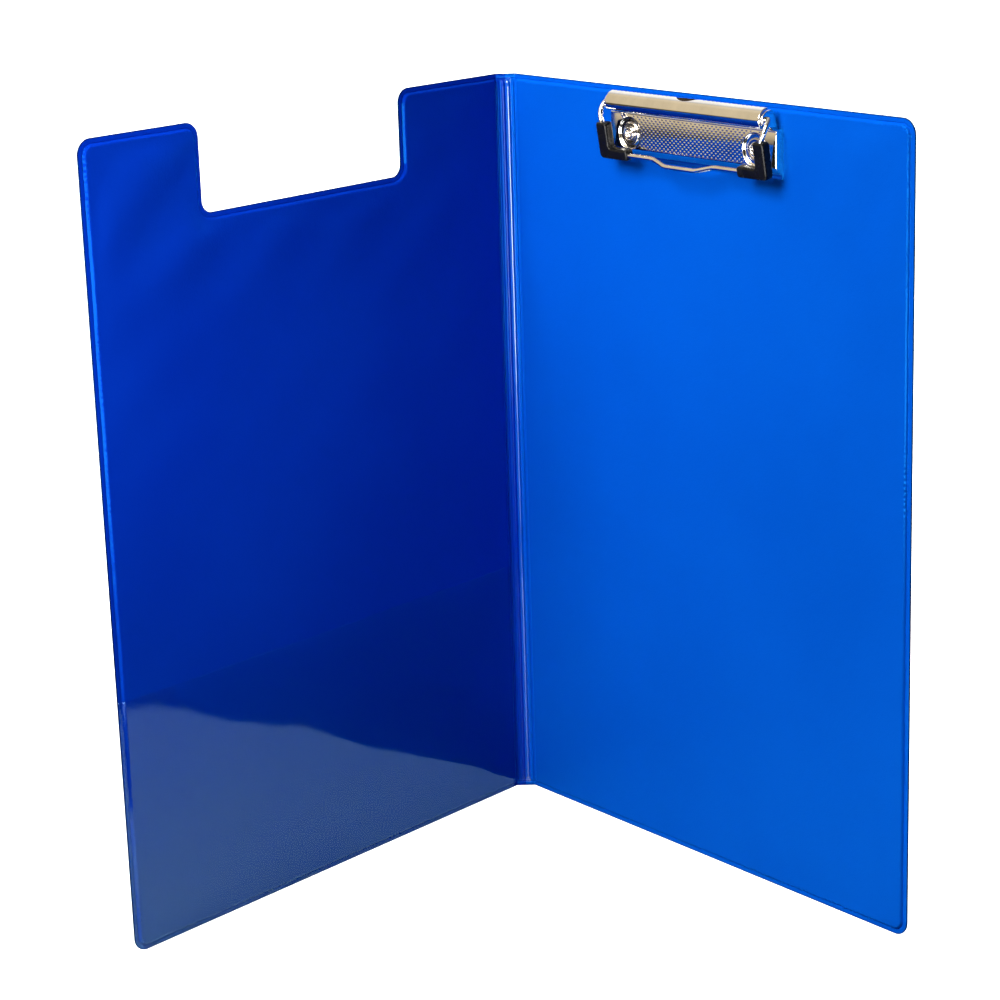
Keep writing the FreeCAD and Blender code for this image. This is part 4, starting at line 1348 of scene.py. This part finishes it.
area("key_near", (-0.585, -0.625, 0.92), (0.01, 0.0, 0.28), 0.5, 0.6, 23.0, (1.0, 0.99, 0.97))
area("key_soft", (-1.01, -1.10, 1.28), (0.0, 0.0, 0.15), 1.5, 1.05, 15.0, (1.0, 0.985, 0.95))
area("background_light", (0.0, 2.3, 2.6), (0.0, 2.0, 0.0), 4.5, 4.5, 260.0).visible_glossy = False
area("side_fill", (-0.02, -0.48, 0.40), (-0.19, -0.08, 0.25), 0.25, 0.25, 0.56, (1, 1, 1), 62.0).visible_glossy = False
flag = card("dark_flag", [(0.62, -1.0, 0.0), (0.62, 0.75, 0.0), (0.62, 0.75, 1.2), (0.62, -1.0, 1.2)], (0.012, 0.012, 0.012))
flag.visible_diffuse = False
flag.visible_shadow = False
bright = card("bright_floor", [(-0.30, -0.24, 0.0001), (0.145, -0.24, 0.0001), (0.145, -0.075, 0.0001), (0.01, 0.088, 0.0001), (-0.01, 0.088, 0.0001)], (1.0, 1.0, 1.0), 0.28)
bright.visible_diffuse = False
bright.visible_shadow = False
strip = card("low_strip", [(-0.59, -0.62, -0.12), (0.22, -0.80, -0.12), (0.22, -0.80, 0.27), (-0.59, -0.62, 0.27)], (1.0, 1.0, 1.0), 1.0)
strip.visible_diffuse = False
strip.visible_shadow = False
sm = strip.data.materials[0].node_tree
sn = sm.nodes["Principled BSDF"] if "Principled BSDF" in sm.nodes else [x for x in sm.nodes if x.type == "BSDF_PRINCIPLED"][0]
stc, ssp, smr = sm.nodes.new("ShaderNodeTexCoord"), sm.nodes.new("ShaderNodeSeparateXYZ"), sm.nodes.new("ShaderNodeMapRange")
sm.links.new(stc.outputs["Object"], ssp.inputs[0])
sm.links.new(ssp.outputs[2], smr.inputs[0])
for i, val in enumerate((-0.03, 0.05, 2.0, 18.0)):
    smr.inputs[i + 1].default_value = val
sm.links.new(smr.outputs[0], sn.inputs["Emission Strength"])

# surroundings: white behind, warm at the left, dark at the right and in front
world = bpy.data.worlds.new("studio")
bpy.context.scene.world = world
world.use_nodes = True
wt = world.node_tree
wt.nodes.clear()


def wnode(kind, **kw):
    x = wt.nodes.new("ShaderNode" + kind)
    for k, v in kw.items():
        setattr(x, k, v)
    return x


wtc, wsep = wnode("TexCoord"), wnode("SeparateXYZ")
wt.links.new(wtc.outputs["Generated"], wsep.inputs[0])


def wramp(fac, a, b, stops):
    mr = wnode("MapRange")
    for i, v in enumerate((a, b, 0.0, 1.0)):
        mr.inputs[i + 1].default_value = v
    wt.links.new(fac, mr.inputs[0])
    cr = wnode("ValToRGB")
    e = cr.color_ramp.elements
    while len(e) < len(stops):
        e.new(0.5)
    for el, (p, c) in zip(e, stops):
        el.position = p
        el.color = (*c, 1)
    wt.links.new(mr.outputs[0], cr.inputs["Fac"])
    return cr.outputs["Color"]


DARK, WARM, WHITE = (0.035, 0.033, 0.032), (0.74, 0.62, 0.43), (1.15, 1.15, 1.15)
# along Y: dark in front (-Y), white behind (+Y); along X: warm towards the left
depth = wramp(wsep.outputs[1], -1.0, 1.0, [(0.0, DARK), (0.36, DARK), (0.55, (0.05, 0.045, 0.04)), (0.72, (0.30, 0.28, 0.25)), (0.86, WHITE)])
left = wramp(wsep.outputs[0], -1.0, 1.0, [(0.0, WARM), (0.22, WARM), (0.36, (0.0, 0.0, 0.0)), (1.0, (0.0, 0.0, 0.0))])
up = wramp(wsep.outputs[2], -1.0, 1.0, [(0.0, (0.0, 0.0, 0.0)), (0.80, (0.0, 0.0, 0.0)), (0.93, (0.30, 0.30, 0.30)), (1.0, (0.35, 0.35, 0.35))])
m1, m2 = wnode("Mix", data_type="RGBA", blend_type="LIGHTEN"), wnode("Mix", data_type="RGBA", blend_type="ADD")
m1.inputs[0].default_value = 1.0
m2.inputs[0].default_value = 1.0
above = wramp(wsep.outputs[2], -0.3, 0.1, [(0.0, (0.0, 0.0, 0.0)), (0.46, (0.0, 0.0, 0.0)), (0.66, (1.0, 1.0, 1.0)), (1.0, (1.0, 1.0, 1.0))])
m0 = wnode("Mix", data_type="RGBA", blend_type="MULTIPLY")
m0.inputs[0].default_value = 1.0
wt.links.new(left, m0.inputs[6])
wt.links.new(above, m0.inputs[7])
wt.links.new(depth, m1.inputs[6])
wt.links.new(m0.outputs[2], m1.inputs[7])
wt.links.new(m1.outputs[2], m2.inputs[6])
wt.links.new(up, m2.inputs[7])
wbg, wout = wnode("Background"), wnode("OutputWorld")
wt.links.new(m2.outputs[2], wbg.inputs["Color"])
wbg.inputs["Strength"].default_value = 1.0
wt.links.new(wbg.outputs[0], wout.inputs[0])

cam = bpy.data.cameras.new("camera")
cam_ob = bpy.data.objects.new("camera", cam)
bpy.context.scene.collection.objects.link(cam_ob)
bpy.context.scene.camera = cam_ob


def set_camera():
    f_px, az, el, roll, dist = 2696.3025, 0.9341, 15.7323, -1.5782, 1256.251
    tgt = Vector((10.3461, 89.75, 142.0013))
    a, e, r = (math.radians(q) for q in (az, el, roll))
    back = Vector((math.sin(a) * math.cos(e), -math.cos(a) * math.cos(e), math.sin(e)))
    pos = tgt + back * dist
    right = (-back).cross(Vector((0, 0, 1))).normalized()
    up = right.cross(-back)
    r2 = right * math.cos(r) + up * math.sin(r)
    u2 = up * math.cos(r) - right * math.sin(r)
    mw = Matrix((r2, u2, back)).transposed().to_4x4()
    mw.translation = pos * 0.001
    cam_ob.matrix_world = mw
    cam.sensor_fit = "AUTO"
    cam.sensor_width = 36.0
    cam.lens = f_px * 36.0 / 1000.0
    cam.shift_x = -0.04
    cam.shift_y = 0.0
    cam.clip_start, cam.clip_end = 0.01, 60.0


set_camera()
sc = bpy.context.scene
sc.view_settings.view_transform = "Standard"
sc.view_settings.look = "None"
sc.view_settings.exposure = 0.0
sc.view_settings.gamma = 1.0
sc.cycles.max_bounces = 10
sc.cycles.transparent_max_bounces = 12
